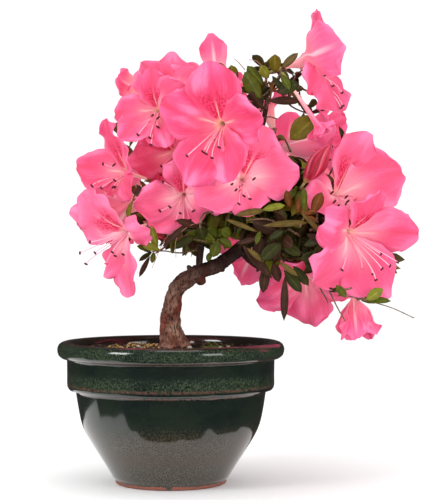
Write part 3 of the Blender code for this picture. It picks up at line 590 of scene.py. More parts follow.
masses = {
    "crown_left": {
        "hub": (16, -8, 222), "space": (72, 64, 64), "seed": 11, "sprigs": 7,
        "blooms": {
            "a": (34, -58, 233, -26, -9, 0, 1.02, 80, 1), "b": (-7, -24, 244, -25, 8, 5, 0.8, 72, 1),
            "c": (1, 12, 256, -5, 60, 10, 0.8, 80, 1), "d": (30, 26, 267, 172, 28, 0, 0.88, 74, 1),
            "e": (-19, 32, 262.5, -110, 12, 0, 0.72, 80, 1), "h": (3, 6, 219, -30, -10, 0, 0.8, 78, 1),
        },
        "buds": (), "placed": (((36, -6, 270), 10, 60, 5, 18),),
    },
    "far_left": {
        "hub": (0, -4, 176), "space": (66, 62, 60), "seed": 23, "sprigs": 9,
        "blooms": {
            "f": (-28, 0, 205, -60, 14, 6, 0.88, 78, 1), "g": (-27, -24, 166, -48, -18, 8, 1, 80, 1),
        },
        "buds": (((-2, -14, 160), (-11.5, -17, 166), 2.2),),
        "placed": (
            ((8, -10, 172), -100, -20, 6, 26), ((-10, -4, 152), -110, -50, 5, 22),
            ((24, -12, 152), -60, -40, 6, 13),
        ),
    },
    "front": {
        "hub": (38, -18, 186), "space": (62, 50, 44), "seed": 31, "sprigs": 16,
        "blooms": {
            "i": (46.6, -36, 199, 6, 12, -27, 0.88, 80, 1), "j": (9, -20, 190, -6, -18, -5, 0.86, 78, 1),
        },
        "buds": (), "placed": (((30, -16, 168), -40, -30, 6, 24),),
    },
    "top": {
        "hub": (64, 3, 258), "space": (62, 50, 62), "seed": 47, "sprigs": 6,
        "blooms": {
            "l": (88.5, -5, 279, 66, 14, -4, 0.88, 56, 1.2),
            "n": (86.5, -30, 248, 84, -56, 0, 0.56, 24, 1.6),
        },
        "buds": (),
        "placed": (
            ((62, -4, 266), 0, 75, 7, 20), ((48, 4, 262), 180, 50, 6, 20), ((76, 2, 258), 10, 20, 5, 20),
        ),
    },
    "right": {
        "hub": (84, -1, 196), "space": (60, 52, 58), "seed": 53, "sprigs": 12,
        "blooms": {
            "p": (90, 20, 226, 75, 8, 10, 0.9, 50, 1), "k": (66.5, 26, 244, -125, 70, 0, 0.56, 50, 1),
            "o": (107, -14, 190, 38, 22, -27, 1.04, 80, 1),
        },
        "buds": (((86, -47, 197), (102, -54, 220.5), 6),), "placed": (((84, -6, 232), 30, 40, 4, 24),),
    },
    "low_right": {
        "hub": (98, -16, 156), "space": (62, 62, 56), "seed": 67, "sprigs": 14,
        "blooms": {
            "q": (113, -48, 166, 38, -22, -12, 1.11, 80, 1),
            "s": (120, -16, 124, 20, -76, 30, 0.76, 24, 1),
        },
        "buds": (), "placed": (((122, -20, 127), -10, -10, 6, 26), ((82, -14, 150), -70, -50, 6, 24)),
    },
    "hanging": {
        "hub": (72, 2, 142), "space": (60, 56, 48), "seed": 71, "sprigs": 12,
        "blooms": {
            "r": (90, 14, 138, 0, -50, 36, 0.94, 80, 1), "t": (59, 36, 157, -120, -40, 0, 0.8, 70, 1),
        },
        "buds": (), "placed": (((66, -6, 132), -90, -60, 6, 24), ((80, -4, 134), -80, -70, 6, 26)),
    },
    "back_left": {
        "hub": (14, 34, 200), "space": (66, 60, 60), "seed": 83, "sprigs": 12,
        "blooms": {
            "u": (10, 54, 222, -165, 15, 10, 0.88, 80, 1), "w": (-24, 36, 188, -122, 0, -10, 0.92, 80, 1),
        },
        "buds": (), "placed": (),
    },
    "back_right": {
        "hub": (74, 36, 188), "space": (70, 64, 72), "seed": 97, "sprigs": 16,
        "blooms": {
            "v": (79, 58, 211, 170, 14, 0, 0.88, 80, 1), "x": (50, 72, 184, -168, -8, 20, 0.88, 80, 1),
            "y": (108, 46, 196, 128, 8, 5, 0.96, 80, 1), "z": (102, 60, 144, 146, -20, -15, 0.86, 76, 1),
        },
        "buds": (), "placed": (),
    },
}

for mass in masses.values():
    for part in ("hub", "space", "buds"):
        mass[part] = metres(mass[part])
massNodes = [name + "_mass" for name in masses]


def massPiece(name, bm, materials):
    return newPiece(name, bm, materials, massNodes)


allBlooms = [item for mass in masses.values() for item in mass["blooms"].items()]

# where petal tips were seen in the picture, by bloom and petal; petal 0 is the upper one and
# the rest follow anticlockwise
petalTips = {
    "c": {0: (174, 52), 1: (148, 54), 4: (196, 64)}, "k": {4: (282, 105)}, "v": {0: (292, 113)},
    "h": {0: (124, 136), 1: (128, 164), 2: (152, 190)}, "d": {0: (211, 34), 1: (252, 92), 4: (172, 72)},
    "e": {0: (140, 72), 4: (114, 76), 3: (126, 98), 1: (136, 76), 2: (132, 100)},
    "r": {1: (260, 308), 2: (308, 330), 3: (348, 302)}, "t": {3: (237, 284), 2: (246, 278)},
    "a": {0: (210, 63), 1: (157, 107), 2: (185, 184), 3: (229, 181), 4: (264, 113)},
    "b": {0: (148, 67), 1: (113, 114), 2: (119, 136), 3: (168, 147)},
    "f": {0: (101, 120), 1: (77, 166), 2: (103, 188), 3: (128, 200)},
    "g": {0: (80, 198), 1: (71, 212), 2: (108, 279), 3: (130, 296), 4: (146, 228)},
    "j": {1: (136, 205), 2: (150, 228), 3: (200, 224)},
    "i": {0: (268, 125), 4: (299, 172), 2: (194, 200), 3: (250, 213)},
    "l": {0: (318, 12), 1: (350, 50), 2: (298, 99), 3: (345, 114), 4: (338, 52)},
    "o": {0: (370, 131), 4: (403, 172), 3: (352, 218), 1: (315, 186)},
    "q": {0: (386, 194), 4: (417, 235), 3: (385, 300), 2: (315, 285), 1: (328, 222)},
}

# where anthers were seen in the picture, by bloom
anthersSeen = {
    "a": ((187, 156), (203, 152), (212, 158), (206, 154)),
    "b": ((158, 118), (138, 135), (150, 138), (151, 145), (174, 138)),
    "f": ((103, 164), (114, 165), (92, 186)), "g": ((90, 242), (80, 253), (86, 264), (95, 253)),
    "j": ((160, 211), (170, 207), (163, 182)),
    "i": ((254, 179), (236, 190), (250, 199), (239, 204), (244, 196)),
    "l": ((333, 86), (342, 93), (343, 106), (341, 108)), "o": ((345, 205), (352, 209), (338, 206)),
    "p": ((332, 139), (325, 142), (332, 147), (316, 155)),
    "q": ((381, 254), (382, 269), (390, 266), (398, 262), (373, 274), (376, 280), (342, 270)),
}

tubeLength, lobeLength, throatDepth = 0.024, 0.035, 0.019
wedge = math.pi / 5.0
stalkLength = 0.008

# how far a petal leans from the axis: share of its length, most degrees, most as a share of spread
leanStops = (
    (0, 12, 2), (0.14, 3, 2), (0.3, 6, 0.4), (0.41, 42, 0.6), (0.54, 58, 0.76), (0.7, 90, 0.87),
    (1, 90, 1),
)

# where petals part, how far their edges keep touching, and how they lean; first the usual form,
# then the blooms that show as long funnels
plainForm = (0.33, 1.0, leanStops)
funnels = {
    "p": (
        0.52, 2,
        ((0, 46, 2), (0.22, 30, 2), (0.45, 12, 2), (0.7, 40, 1), (1, 70, 1.2)),
    ),
    "l": (
        0.42, 1.3,
        ((0, 14, 2), (0.14, 5, 2), (0.34, 22, 2), (0.54, 40, 2), (0.8, 62, 1.3), (1, 80, 1.3)),
    ),
    "k": (
        0.52, 2,
        ((0, 30, 2), (0.22, 12, 2), (0.5, 14, 2), (0.7, 50, 1), (1, 76, 1)),
    ),
    "n": (
        0.78, 1,
        ((0, 12, 2), (0.16, 2, 2), (0.7, 2.5, 2), (0.86, 24, 1), (1, 50, 2)),
    ),
}

# half width of a lobe along its length, as shares
widthStops = ((0, 0.16), (0.18, 0.44), (0.38, 0.82), (0.58, 1), (0.74, 0.97), (0.9, 0.8), (1, 0.56))

petalLook = {
    "rows": 36, "columns": 14, "wall": 0.00035, "halfWidth": 0.0164, "tipRound": 0.15, "tipPoint": 0.06,
    "ragged": 0.07, "tilt": 0.002, "wave": 0.0031, "groove": 0.0017, "crinkle": 0.0025, "pleat": 0.0009,
}

# petal widths that differ from the usual: of whole blooms, and of single petals
bloomWidths = {"c": 1.15, "d": 0.6, "e": 0.85, "f": 0.92, "s": 0.8, "t": 0.85, "l": 1.2}
petalWidths = {"f": {0: 0.58}, "g": {4: 0.72}, "l": {0: 1.3, 1: 0.95, 2: 0.8, 3: 1.4, 4: 0.5}}

# blooms whose throat colours start later along the petals
throatStarts = {"p": 0.3, "l": 0.1}

# how far the white of the throat runs out on a bloom's petals
paleBlooms = {
    "a": 0.12, "b": 0.45, "c": 0.7, "d": 0.9, "e": 1, "g": 0.95, "i": 0.9, "j": 0.95, "k": 0.8, "l": 0.5,
    "n": 0.5, "o": 0.8, "p": 0.45, "q": 0.6, "r": 0.5,
}


# a bloom's base, its axis, and its frame as a matrix
def bloomPlace(values):
    facing, rise, roll = (math.radians(value) for value in values[3:6])
    level = math.cos(rise)
    axis = Vector((math.sin(facing) * level, -math.cos(facing) * level, math.sin(rise)))
    top = (up - axis * up.dot(axis)).normalized()
    side = top.cross(axis)
    x = side * math.cos(roll) + top * math.sin(roll)
    y = top * math.cos(roll) - side * math.sin(roll)
    base = Vector(metres(values[:3])) - axis * throatDepth * values[6] * values[8]
    return base, axis, Matrix.Translation(base) @ Matrix((x, y, axis)).transposed().to_4x4()


# radius, height and lean along a petal; length and lean alter the free lobe alone
def makeSpine(key, values, length=1.0, extra=0.0, steps=48):
    size, spread, tubeShare = values[6:9]
    full = (tubeLength * tubeShare + lobeLength) * size
    part, _, form = funnels.get(key, plainForm)
    stops = [(at, min(most, share * spread)) for at, most, share in form]

    def leanAt(s):
        for (s0, a0), (s1, a1) in zip(stops, stops[1:]):
            if s <= s1:
                lean = a0 + (a1 - a0) * (s - s0) / (s1 - s0)
                return math.radians(lean + extra * smooth(s, 0.46, 0.8))
        return math.radians(spread + extra)

    radius, height = 0.0, 0.0
    rows = [(radius, height, leanAt(0.0))]
    for step in range(steps):
        lean = leanAt((step + 0.5) / steps)
        run = full / steps * (length if step / steps > part else 1.0)
        radius += math.sin(lean) * run
        height += math.cos(lean) * run
        rows.append((radius, height, leanAt((step + 1.0) / steps)))
    return rows


def onSpine(spine, s):
    at = clamp(s) * (len(spine) - 1)
    index = min(int(at), len(spine) - 2)
    t = at - index
    return [a + (b - a) * t for a, b in zip(spine[index], spine[index + 1])]


# a point of a petal in its bloom's frame, with its painted shade value: u runs across from -1 to 1 and s
# along from 0 to 1
def petalSpot(spine, size, petal, u, s, shape, part, joint):
    look, seed, phase = petalLook, shape["seed"], shape["phase"]
    v = clamp((s - part) / (1.0 - part))
    tip = look["tipRound"] * u * u * v**4 - look["tipPoint"] * (1.0 - abs(u)) ** 3 * v**8
    s -= tip * (1.0 - part)
    radius, height, lean = onSpine(spine, s)
    share = smooth(s, part - 0.02, part + 0.17)
    half = look["halfWidth"] * size * shape["width"] * along(widthStops, v)
    half = max(half, radius * math.sin(wedge) * (1.0 - v**joint))
    half *= 1.0 + look["ragged"] * v * math.sin(9.0 * v + phase * 2.0 + 2.5 * u)
    out = radius * (1.0 - share) * math.cos(wedge * u) + radius * share
    across = radius * (1.0 - share) * math.sin(wedge * u) + half * u * share
    across += shape["hook"] * size * v * v * share
    wave = math.sin(v * shape["waves"] + phase + u * 1.5) * abs(u) ** 2.2 * v
    fold = math.sin(2.3 * u + seed) * math.sin(4.2 * v + 2.0 * seed)
    fold += 0.6 * math.sin(4.4 * u + 2.0 * v + 3.0 * seed) * math.sin(6.5 * v + seed)
    pleat = math.sin(7.0 * u + seed) * v * (1.2 - v)
    lift = look["tilt"] * u + look["wave"] * shape["wavy"] * wave
    groove = look["groove"] * math.exp(-((u / 0.2) ** 2)) * (1.1 - 0.5 * v)
    lift += shape["cup"] * half * u * u - groove
    lift += look["crinkle"] * fold * v + look["pleat"] * pleat
    lift += shape["curl"] * size * smooth(v, 0.6, 1.0) ** 2
    lift *= size * share
    out -= lift * math.cos(lean)
    height += lift * math.sin(lean)
    heading = math.radians(90.0 + 72.0 * petal + shape["swing"] * share)
    cosine, sine = math.cos(heading), math.sin(heading)
    # painted shade and highlight: darker in the folds and along the midrib groove, lighter on the ridges
    tone = 0.5 + 0.25 * fold * v - 0.25 * math.exp(-((u / 0.12) ** 2)) * v + 0.12 * pleat
    return Vector((out * cosine - across * sine, out * sine + across * cosine, height)), tone


# blooms that show the backs of their petals
backsSeen = "cdeklnprstv"


# swings, lengthens and leans a petal so that its tip shows where it was seen, with its face turned
# to the viewer
def aimPetal(key, values, place, petal, target):
    best, found = 1e9, (0.0, 1.0, 0.0)
    turn = place.to_3x3()
    for extra in range(-36, 49, 12):
        for length in (0.6, 0.72, 0.8, 0.9, 1.0, 1.1, 1.2):
            radius, height, lean = makeSpine(key, values, length, extra, 24)[-1]
            for swing in range(-24, 25, 6):
                heading = math.radians(90.0 + 72.0 * petal + swing)
                out = Vector((math.cos(heading), math.sin(heading), 0.0))
                tip = place @ (out * radius + up * height)
                normal = turn @ (up * math.sin(lean) - out * math.cos(lean))
                facing = normal.dot((eye - tip).normalized())
                across, down = seenAt(tip)
                miss = math.hypot(across - target[0], down - target[1])
                cost = miss + 0.1 * abs(swing) + 0.08 * abs(extra) + 12.0 * abs(length - 1.0)
                if key not in backsSeen:
                    cost += 30.0 * max(0.0, 0.8 - facing)
                if cost < best:
                    best, found = cost, (swing, length, extra)
    return found


def makePetals(names):
    bm = bmesh.new()
    # the second layer carries the painted fold shade and the bloom's paleness
    layer, foldShadeLayer = (bm.loops.layers.uv.new(name) for name in ("petal", "tone"))
    for key, values in allBlooms:
        if key not in names:
            continue
        draw = random.Random(ord(key) * 7)
        _, axis, place = bloomPlace(values)
        mine = []
        part, joint, _ = funnels.get(key, plainForm)
        start = throatStarts.get(key, 0.0)
        for petal in range(5):
            swing, length, extra = draw.uniform(-4, 4), draw.uniform(0.95, 1.05), draw.uniform(-8, 8)
            target = petalTips.get(key, {}).get(petal)
            if target:
                swing, length, extra = aimPetal(key, values, place, petal, target)
            width = draw.uniform(0.94, 1.06) * bloomWidths.get(key, 1.0)
            shape = {
                "swing": swing,
                "width": width * petalWidths.get(key, {}).get(petal, 1.0) * (0.4 + 0.6 * length),
                "waves": draw.uniform(9.0, 15.0),
                "phase": draw.uniform(0.0, 6.28),
                "wavy": draw.uniform(0.5, 1.2),
                "cup": draw.uniform(-0.26, 0.04),
                "curl": draw.uniform(-0.004, 0.002),
                "hook": draw.uniform(-0.001, 0.001),
                "seed": draw.uniform(0.0, 50.0),
            }
            spine = makeSpine(key, values, length, extra)
            paleness = paleBlooms.get(key, 0.4) * draw.uniform(0.6, 1.0)
            made = newGrid(bm, petalLook["columns"], petalLook["rows"])
            mine += made
            spots = {}
            for vert in made:
                u, s = vert.co.x, onGrid(vert)[1]
                spots[vert] = petalSpot(spine, values[6], petal, u, s, shape, part, joint)
            for face in facesOf(made):
                for loop in face.loops:
                    across, run = onGrid(loop.vert)
                    loop[layer].uv = (5 * (ord(key) - 97) + petal + across, start + (1.0 - start) * run)
                    loop[foldShadeLayer].uv = (spots[loop.vert][1], paleness)
            for vert, (spot, _) in spots.items():
                vert.co = place @ spot
        bmesh.ops.remove_doubles(bm, verts=mine, dist=0.00004)
        faces = facesOf(vert for vert in mine if vert.is_valid)
        bmesh.ops.recalc_face_normals(bm, faces=faces)
        if sum(face.normal.dot(axis) for face in faces) < 0.0:
            bmesh.ops.reverse_faces(bm, faces=faces)
    return bm


# a petal's face, then its back; each glows faintly in its own colour, painted light in place of light
# shining through the petal
def petalMaterials():
    made = []
    for name, paintedGlow in (("petal_face", 0.12), ("petal_back", 0.36)):
        paint = Paint(name)
        fade = paint.fade
        turn, run, _ = paint.layer("petal")
        tone, paleness, _ = paint.layer("tone")
        across = abs(paint.calc("FRACT", turn) - 0.5) * 2.0
        upper = paint.calc("MODULO", paint.calc("FLOOR", turn), 5.0) < 0.5
        veins = paint.cloud(paint.joined(turn * 34.0, run * 2.2), 1.0, 3.0, 0.6)
        broad = paint.cloud(paint.joined(turn * 6.0, run * 5.0), 1.0, 2.0)
        # painted shade in the folds and painted highlight on the ridges, from the fold shade mixed with
        # broad random tone
        relief = tone + (broad - 0.5) * 0.5
        creaseShade, ridge = fade(relief, 0.52, 0.22), fade(relief, 0.48, 0.8)
        if name == "petal_face":
            tongue = run + across * 0.16 + (veins - 0.5) * 0.16
            pale = fade(tongue, 0.8, 0.42) * paleness * (1.0 - upper * 0.8)
            streak = fade(across, 0.15, 0.02) * fade(run, 0.64, 0.4) * fade(run, 0.31, 0.35)
            cells = paint.cells(paint.joined(turn * 30.0, run * 46.0), 0.8)
            area = fade(run, 0.37, 0.43) * fade(run, 0.78, 0.58)
            area = area * fade(across, 0.8, 0.36) * upper * fade(across, 0.03, 0.09)
            colour = paint.laid(
                paint.ramp(
                    run,
                    (0.18, tint(140, 124, 44)),
                    (0.25, tint(206, 184, 100)),
                    (0.345, tint(246, 196, 160)),
                    (0.41, tint(226, 96, 124)),
                    (0.52, tint(216, 52, 98)),
                    (0.66, tint(214, 42, 94)),
                    (0.86, tint(218, 54, 106)),
                    (1.0, tint(226, 82, 134)),
                ),
                # painted shade in the folds, painted highlight on the ridges
                (creaseShade * 0.8, tint(200, 22, 70)),
                (ridge * 0.65, tint(244, 126, 168)),
                (fade(veins, 0.54, 0.7) * 0.3, tint(244, 122, 162)),
                (fade(veins, 0.46, 0.32) * 0.3, tint(216, 40, 92)),
                # paler margins: a painted sheen where light grazes the petal edges
                (fade(across, 0.7, 1.0) * 0.4, tint(242, 124, 170)),
                (paleness * 0.4, tint(240, 130, 170)),
                (pale * 0.85, tint(244, 200, 208)),
                (streak * 0.7, tint(250, 206, 190)),
                (area * 0.7, tint(224, 32, 90)),
                (fade(cells, 0.6, 0.44) * area * 0.95, tint(184, 4, 54)),
            )
        else:
            rib = fade(across, 0.16, 0.03) * fade(run, 1.0, 0.6)
            colour = paint.laid(
                paint.ramp(
                    run,
                    (0.05, tint(228, 190, 168)),
                    (0.24, tint(234, 152, 156)),
                    (0.5, tint(232, 102, 138)),
                    (0.8, tint(230, 82, 128)),
                    (1.0, tint(236, 100, 146)),
                ),
                # painted shade in the folds, painted highlight on the ridges
                (creaseShade * 0.35, tint(224, 58, 106)),
                (ridge * 0.35, tint(246, 140, 176)),
                (fade(run, 0.8, 0.4) * (paleness * 0.8), tint(252, 184, 176)),
                (rib * 0.6, tint(250, 206, 212)),
                (fade(veins, 0.54, 0.66) * 0.36, tint(246, 140, 172)),
            )
        bump = paint.bump(veins, 0.6, 0.0008)
        # painted light: the petal glows in its own colour
        paintedGlowInputs = {"Emission_Color": colour, "Emission_Strength": paintedGlow}
        made.append(paint.finish(Base_Color=colour, Roughness=0.62, Normal=bump, **paintedGlowInputs))
    return made


petalPaints = petalMaterials()
petalTrees = []
for name, chosen in (("petalsFront", "abfgijlnopq"), ("petalsBack", "cdehkrstuvwxyz")):
    petals = makePetals(chosen)
    petalTrees.append(BVHTree.FromBMesh(petals))
    wall(massPiece(name, petals, petalPaints), petalLook["wall"])
print("petals made")


# twigs and leaves: the rule of the masses, carried on to finer twigs within the same reach

leafLook = {
    "rows": 6, "columns": 4, "wall": 0.00028, "spacing": 0.004,
    "rise": (-0.75, 0.9), "coarse": ((0.28, 0.62), (4, 6), (0.018, 0.026)),
    "finer": ((0.12, 0.74), (4, 7), (0.013, 0.023)), "finerCount": 46, "finerCountQuick": 8,
    "open": (38.0, 36.0), "droop": (0.1, 0.15), "coverReach": 0.035, "seed": 2024,
    "ownLength": (0.75, 1.05), "ownHalf": (0.17, 0.25), "seenLength": (0.8, 1.1), "seenHalf": (0.25, 0.34),
}

# radius of a twig at its foot and tip
twigLook = {
    "toBloom": (0.0011, 0.0009), "bloomStalk": (0.0009, 0.0011), "toSprig": (0.0008, 0.0005),
    "toWhorl": (0.0009, 0.0006),
}

# the face and the back of each kind of leaf
palettes = {
    "dark": (tint(46, 48, 6), tint(72, 68, 28)),
    "green": (tint(76, 84, 10), tint(96, 96, 36)),
    "olive": (tint(104, 94, 12), tint(120, 102, 38)),
    "bronze": (tint(106, 58, 16), tint(128, 82, 38)),
    "young": (tint(116, 118, 28), tint(146, 142, 60)),
    "brown": (tint(58, 32, 16), tint(82, 56, 36)),
    "tan": (tint(92, 74, 26), tint(116, 96, 52)),
}

# boxes of the picture that stay open: left, top, right and bottom in dots
openSky = (
    (0, 0, 226, 40), (0, 0, 140, 50), (0, 0, 102, 74), (222, 0, 300, 54), (0, 60, 106, 118),
    (0, 100, 74, 400), (0, 200, 100, 400), (0, 262, 258, 400), (0, 250, 136, 400), (236, 283, 262, 400),
    (262, 296, 281, 400), (292, 293, 316, 400), (258, 322, 435, 400), (345, 304, 435, 400),
    (392, 285, 435, 400), (345, 0, 435, 118), (284, 105, 300, 113), (283, 130, 336, 156),
    (300, 93, 313, 104), (204, 247, 209, 256),
)

# whorls seen in the picture: across, down, depth in millimetres, heading, rise, leaves, their
# length in millimetres, opening and palette
seenWhorls = (
    (272, 86, -14, 0, 80, 7, 7.5, 16, "bronze"), (262, 96, -10, -80, 10, 6, 11, 70, "dark"),
    (284, 90, -6, -20, 0, 5, 10, 60, "dark"), (284, 138, -18, 120, 50, 5, 8, 34, "tan"),
    (218, 240, -30, -90, -20, 6, 11.5, 78, "green"), (211, 252, -26, -90, -40, 6, 8, 74, "green"),
    (305, 212, -50, 60, 50, 6, 11.5, 50, "bronze"), (318, 206, -46, 80, 60, 6, 10.5, 40, "bronze"),
    (326, 224, -48, 20, 20, 6, 12, 60, "dark"), (282, 222, -40, 100, 30, 6, 14, 60, "dark"),
    (296, 240, -44, -60, 10, 6, 15, 64, "dark"), (262, 236, -38, -100, -10, 6, 14, 70, "brown"),
    (316, 262, -46, -50, -10, 6, 14, 60, "dark"), (284, 262, -44, -80, -40, 6, 14, 60, "brown"),
    (240, 226, -30, 170, 10, 6, 15, 60, "brown"), (188, 232, -26, 180, 10, 6, 14.5, 50, "brown"),
    (352, 288, -52, 0, 10, 5, 12, 50, "dark"), (374, 296, -54, 20, 10, 4, 11, 40, "green"),
    (330, 186, -12, 100, 60, 4, 8, 30, "brown"), (300, 168, -34, 200, 10, 4, 11, 50, "dark"),
)

# single leaves seen in the picture: root across and down, tip across and down, depth in
# millimetres, half width as a share of the length, and palette
seenLeaves = (
    (235, 84, 231, 65, -14, 0.3, "olive"), (261, 99, 244, 72, -20, 0.27, "green"),
    (264, 86, 247, 66, -16, 0.25, "green"), (269, 78, 260, 66, -18, 0.34, "young"),
    (275, 73, 275, 54, -12, 0.33, "olive"), (281, 69, 298, 53, -12, 0.18, "tan"),
    (284, 83, 285, 71, -20, 0.3, "green"), (272, 76, 284, 92, -22, 0.16, "dark"),
    (277, 93, 299, 83, -40, 0.3, "dark"), (281, 74, 290, 90, -40, 0.2, "green"),
    (268, 101, 301, 101, -22, 0.14, "brown"), (260, 95, 236, 87, -18, 0.12, "dark"),
    (264, 110, 250, 91, -18, 0.18, "brown"), (290, 140, 316, 117, -24, 0.33, "olive"),
    (266, 264, 263, 293, -50, 0.18, "brown"), (273, 262, 279, 282, -50, 0.24, "brown"),
    (285, 276, 284, 321, -58, 0.09, "brown"), (284, 270, 302, 292, -56, 0.2, "dark"),
    (293, 266, 309, 285, -54, 0.2, "dark"), (242, 245, 273, 278, -52, 0.11, "brown"),
    (247, 248, 264, 262, -54, 0.12, "tan"), (281, 243, 261, 260, -56, 0.25, "dark"),
    (283, 245, 301, 255, -56, 0.26, "dark"), (262, 226, 309, 221, -54, 0.07, "tan"),
    (258, 232, 226, 219, -50, 0.07, "tan"), (235, 215, 265, 210, -50, 0.12, "tan"),
    (262, 210, 285, 205, -54, 0.16, "young"), (260, 231, 256, 244, -52, 0.18, "green"),
    (236, 244, 258, 238, -48, 0.12, "brown"), (300, 212, 328, 239, -56, 0.06, "tan"),
    (290, 208, 286, 190, -50, 0.2, "bronze"), (296, 212, 305, 192, -54, 0.2, "bronze"),
    (312, 214, 322, 192, -54, 0.24, "bronze"), (304, 212, 304, 187, -56, 0.14, "green"),
    (322, 228, 335, 214, -56, 0.16, "tan"), (303, 259, 326, 251, -56, 0.14, "tan"),
    (279, 262, 298, 276, -56, 0.12, "tan"), (304, 262, 318, 272, -56, 0.2, "dark"),
    (303, 246, 324, 238, -54, 0.2, "dark"), (306, 234, 330, 244, -54, 0.16, "brown"),
    (268, 240, 284, 230, -50, 0.2, "dark"), (232, 236, 222, 229, -36, 0.4, "green"),
    (150, 256, 139, 277, -24, 0.11, "brown"), (152, 252, 139, 261, -22, 0.16, "dark"),
    (157, 251, 151, 225, -26, 0.15, "young"), (160, 250, 141, 244, -28, 0.2, "young"),
    (150, 250, 137, 246, -24, 0.22, "green"), (154, 252, 152, 263, -24, 0.22, "green"),
    (196, 236, 172, 248, -34, 0.16, "dark"), (190, 222, 162, 246, -36, 0.09, "brown"),
    (200, 228, 176, 220, -36, 0.16, "brown"), (204, 240, 199, 226, -38, 0.42, "dark"),
    (366, 300, 383, 289, -56, 0.28, "young"), (366, 300, 391, 301, -56, 0.14, "green"),
    (336, 285, 346, 298, -56, 0.24, "green"), (336, 285, 330, 292, -50, 0.3, "dark"),
)

# bare twigs, old pistils and hairs seen in the picture: places, then depth and radii in
# millimetres, and the kind of stalk
seenTwigs = (
    (((197, 250), (180, 253), (163, 251), (149, 253), (140, 261)), -22, 0.6, 0.3, "twig"),
    (((320, 288), (325, 297), (328, 303)), -50, 0.5, 0.4, "twig"),
    (((328, 288), (336, 305), (345, 321)), -50, 0.5, 0.4, "twig"),
    (((348, 296), (372, 302), (392, 308), (414, 318)), -52, 0.4, 0.3, "twig"),
    (((182, 226), (166, 238), (152, 268)), -36, 0.24, 0.18, "hair"),
    (((200, 222), (186, 228), (176, 240), (176, 258)), -38, 0.22, 0.18, "hair"),
    (((245, 70), (238, 62), (234, 59)), -10, 0.3, 0.2, "hair"),
    (((262, 66), (256, 61), (249, 60)), -10, 0.3, 0.2, "hair"),
    (((277, 119), (268, 117), (256, 122)), -16, 0.5, 0.3, "twig"),
    (((277, 129), (270, 130)), -16, 0.4, 0.3, "twig"),
    (((200, 228), (204, 214), (226, 212), (240, 216)), -44, 0.8, 0.5, "twig"),
    (((300, 236), (270, 220), (246, 220)), -48, 0.9, 0.6, "twig"),
)


# the rule's sprigs: tip, way, number of leaves and leaf length; reach, leaves and length are drawn
def sprigRule(mass):
    look = leafLook
    sprigs = []
    for tip, heading, rise, leaves, length in mass["placed"]:
        sprigs.append((Vector(metres(tip)), spherical(heading, rise), leaves, length / 1000.0))
    finerCount = look["finerCount"]
    rounds = (("coarse", mass["seed"], mass["sprigs"]), ("finer", mass["seed"] + 1000, finerCount))
    for kind, seed, count in rounds:
        draw = random.Random(seed)
        reach, leaves, length = look[kind]
        for _ in range(count):
            heading = draw.uniform(0.0, 360.0)
            way = spherical(heading, math.degrees(math.asin(draw.uniform(*look["rise"]))))
            far = Vector([w * h for w, h in zip(way, mass["space"])])
            tip = Vector(mass["hub"]) + far * draw.uniform(*reach)
            sprigs.append((tip, way, draw.randint(*leaves), draw.uniform(*length)))
    return sprigs


def leafWhorl(way, leaves, draw, opening=leafLook["open"]):
    side = way.orthogonal().normalized()
    other = way.cross(side)
    fan = []
    for index in range(leaves):
        angle = fullTurn * (index + 0.5 * draw.random()) / leaves
        out = side * math.cos(angle) + other * math.sin(angle)
        lean = math.radians(opening[0] + opening[1] * draw.random())
        blade = way * math.cos(lean) + out * math.sin(lean)
        blade.z -= leafLook["droop"][0] + leafLook["droop"][1] * draw.random()
        fan.append(blade.normalized())
    return fan


# boxes of the picture that random leaves leave to what was seen there, each down to a depth
keptClear = (
    (188, 246, 244, 290, 0.012), (226, 50, 304, 108, 0.004), (190, 40, 226, 68, 0.06),
    (200, 226, 236, 250, -0.02), (254, 98, 302, 152, 0.034), (136, 220, 160, 262, 0.02),
    (298, 62, 338, 104, 0.06),
)


# whether a leaf there would hide a petal from the viewer
def hidesPetal(point, trees):
    away = (point - eye).normalized()
    start = point + away * 0.0005
    return any(tree.ray_cast(start, away, leafLook["coverReach"])[0] is not None for tree in trees)


def inOpenSky(point):
    across, down = seenAt(point)
    return any(l < across < r and t < down < b for l, t, r, b in openSky)


def isKeptClear(point):
    across, down = seenAt(point)
    return any(l < across < r and t < down < b and point.y < y for l, t, r, b, y in keptClear)


def insideSpace(point, mass):
    away = point - Vector(mass["hub"])
    return sum((a / h) ** 2 for a, h in zip(away, mass["space"])) <= 1.0


# the points of a folded, drooping blade, row by row
def leafRows(root, way, flat, length, half, draw, calm=1.0):
    across = way.cross(flat)
    if across.length < 0.01:
        across = way.orthogonal()
    across = across.normalized()
    normal = across.cross(way).normalized()
    if normal.z < 0.0:
        normal = -normal
    droop, fold = draw.uniform(0.0, 0.9) * calm, draw.uniform(0.1, 0.45)
    twist, wavy = draw.uniform(-0.5, 0.5) * calm, draw.uniform(0.0, 0.1)
    rows, columns = leafLook["rows"], leafLook["columns"]
    points = []
    for row in range(rows + 1):
        t = row / rows
        ahead, drop = t * length, 0.0
        if droop > 0.02:
            ahead = math.sin(droop * t) / droop * length
            drop = (1.0 - math.cos(droop * t)) / droop * length
        wide = half * length * max(0.0, math.sin(math.pi * t**1.15)) ** 0.62
        side = across * math.cos(twist * t) + normal * math.sin(twist * t)
        lean = normal * math.cos(twist * t) - across * math.sin(twist * t)
        for column in range(columns + 1):
            u = 2.0 * column / columns - 1.0
            lift = fold * abs(u) * wide + wavy * wide * math.sin(9.0 * t + 2.0 * u) * abs(u)
            points.append(root + way * ahead - normal * drop + side * wide * u + lean * lift)
    return points


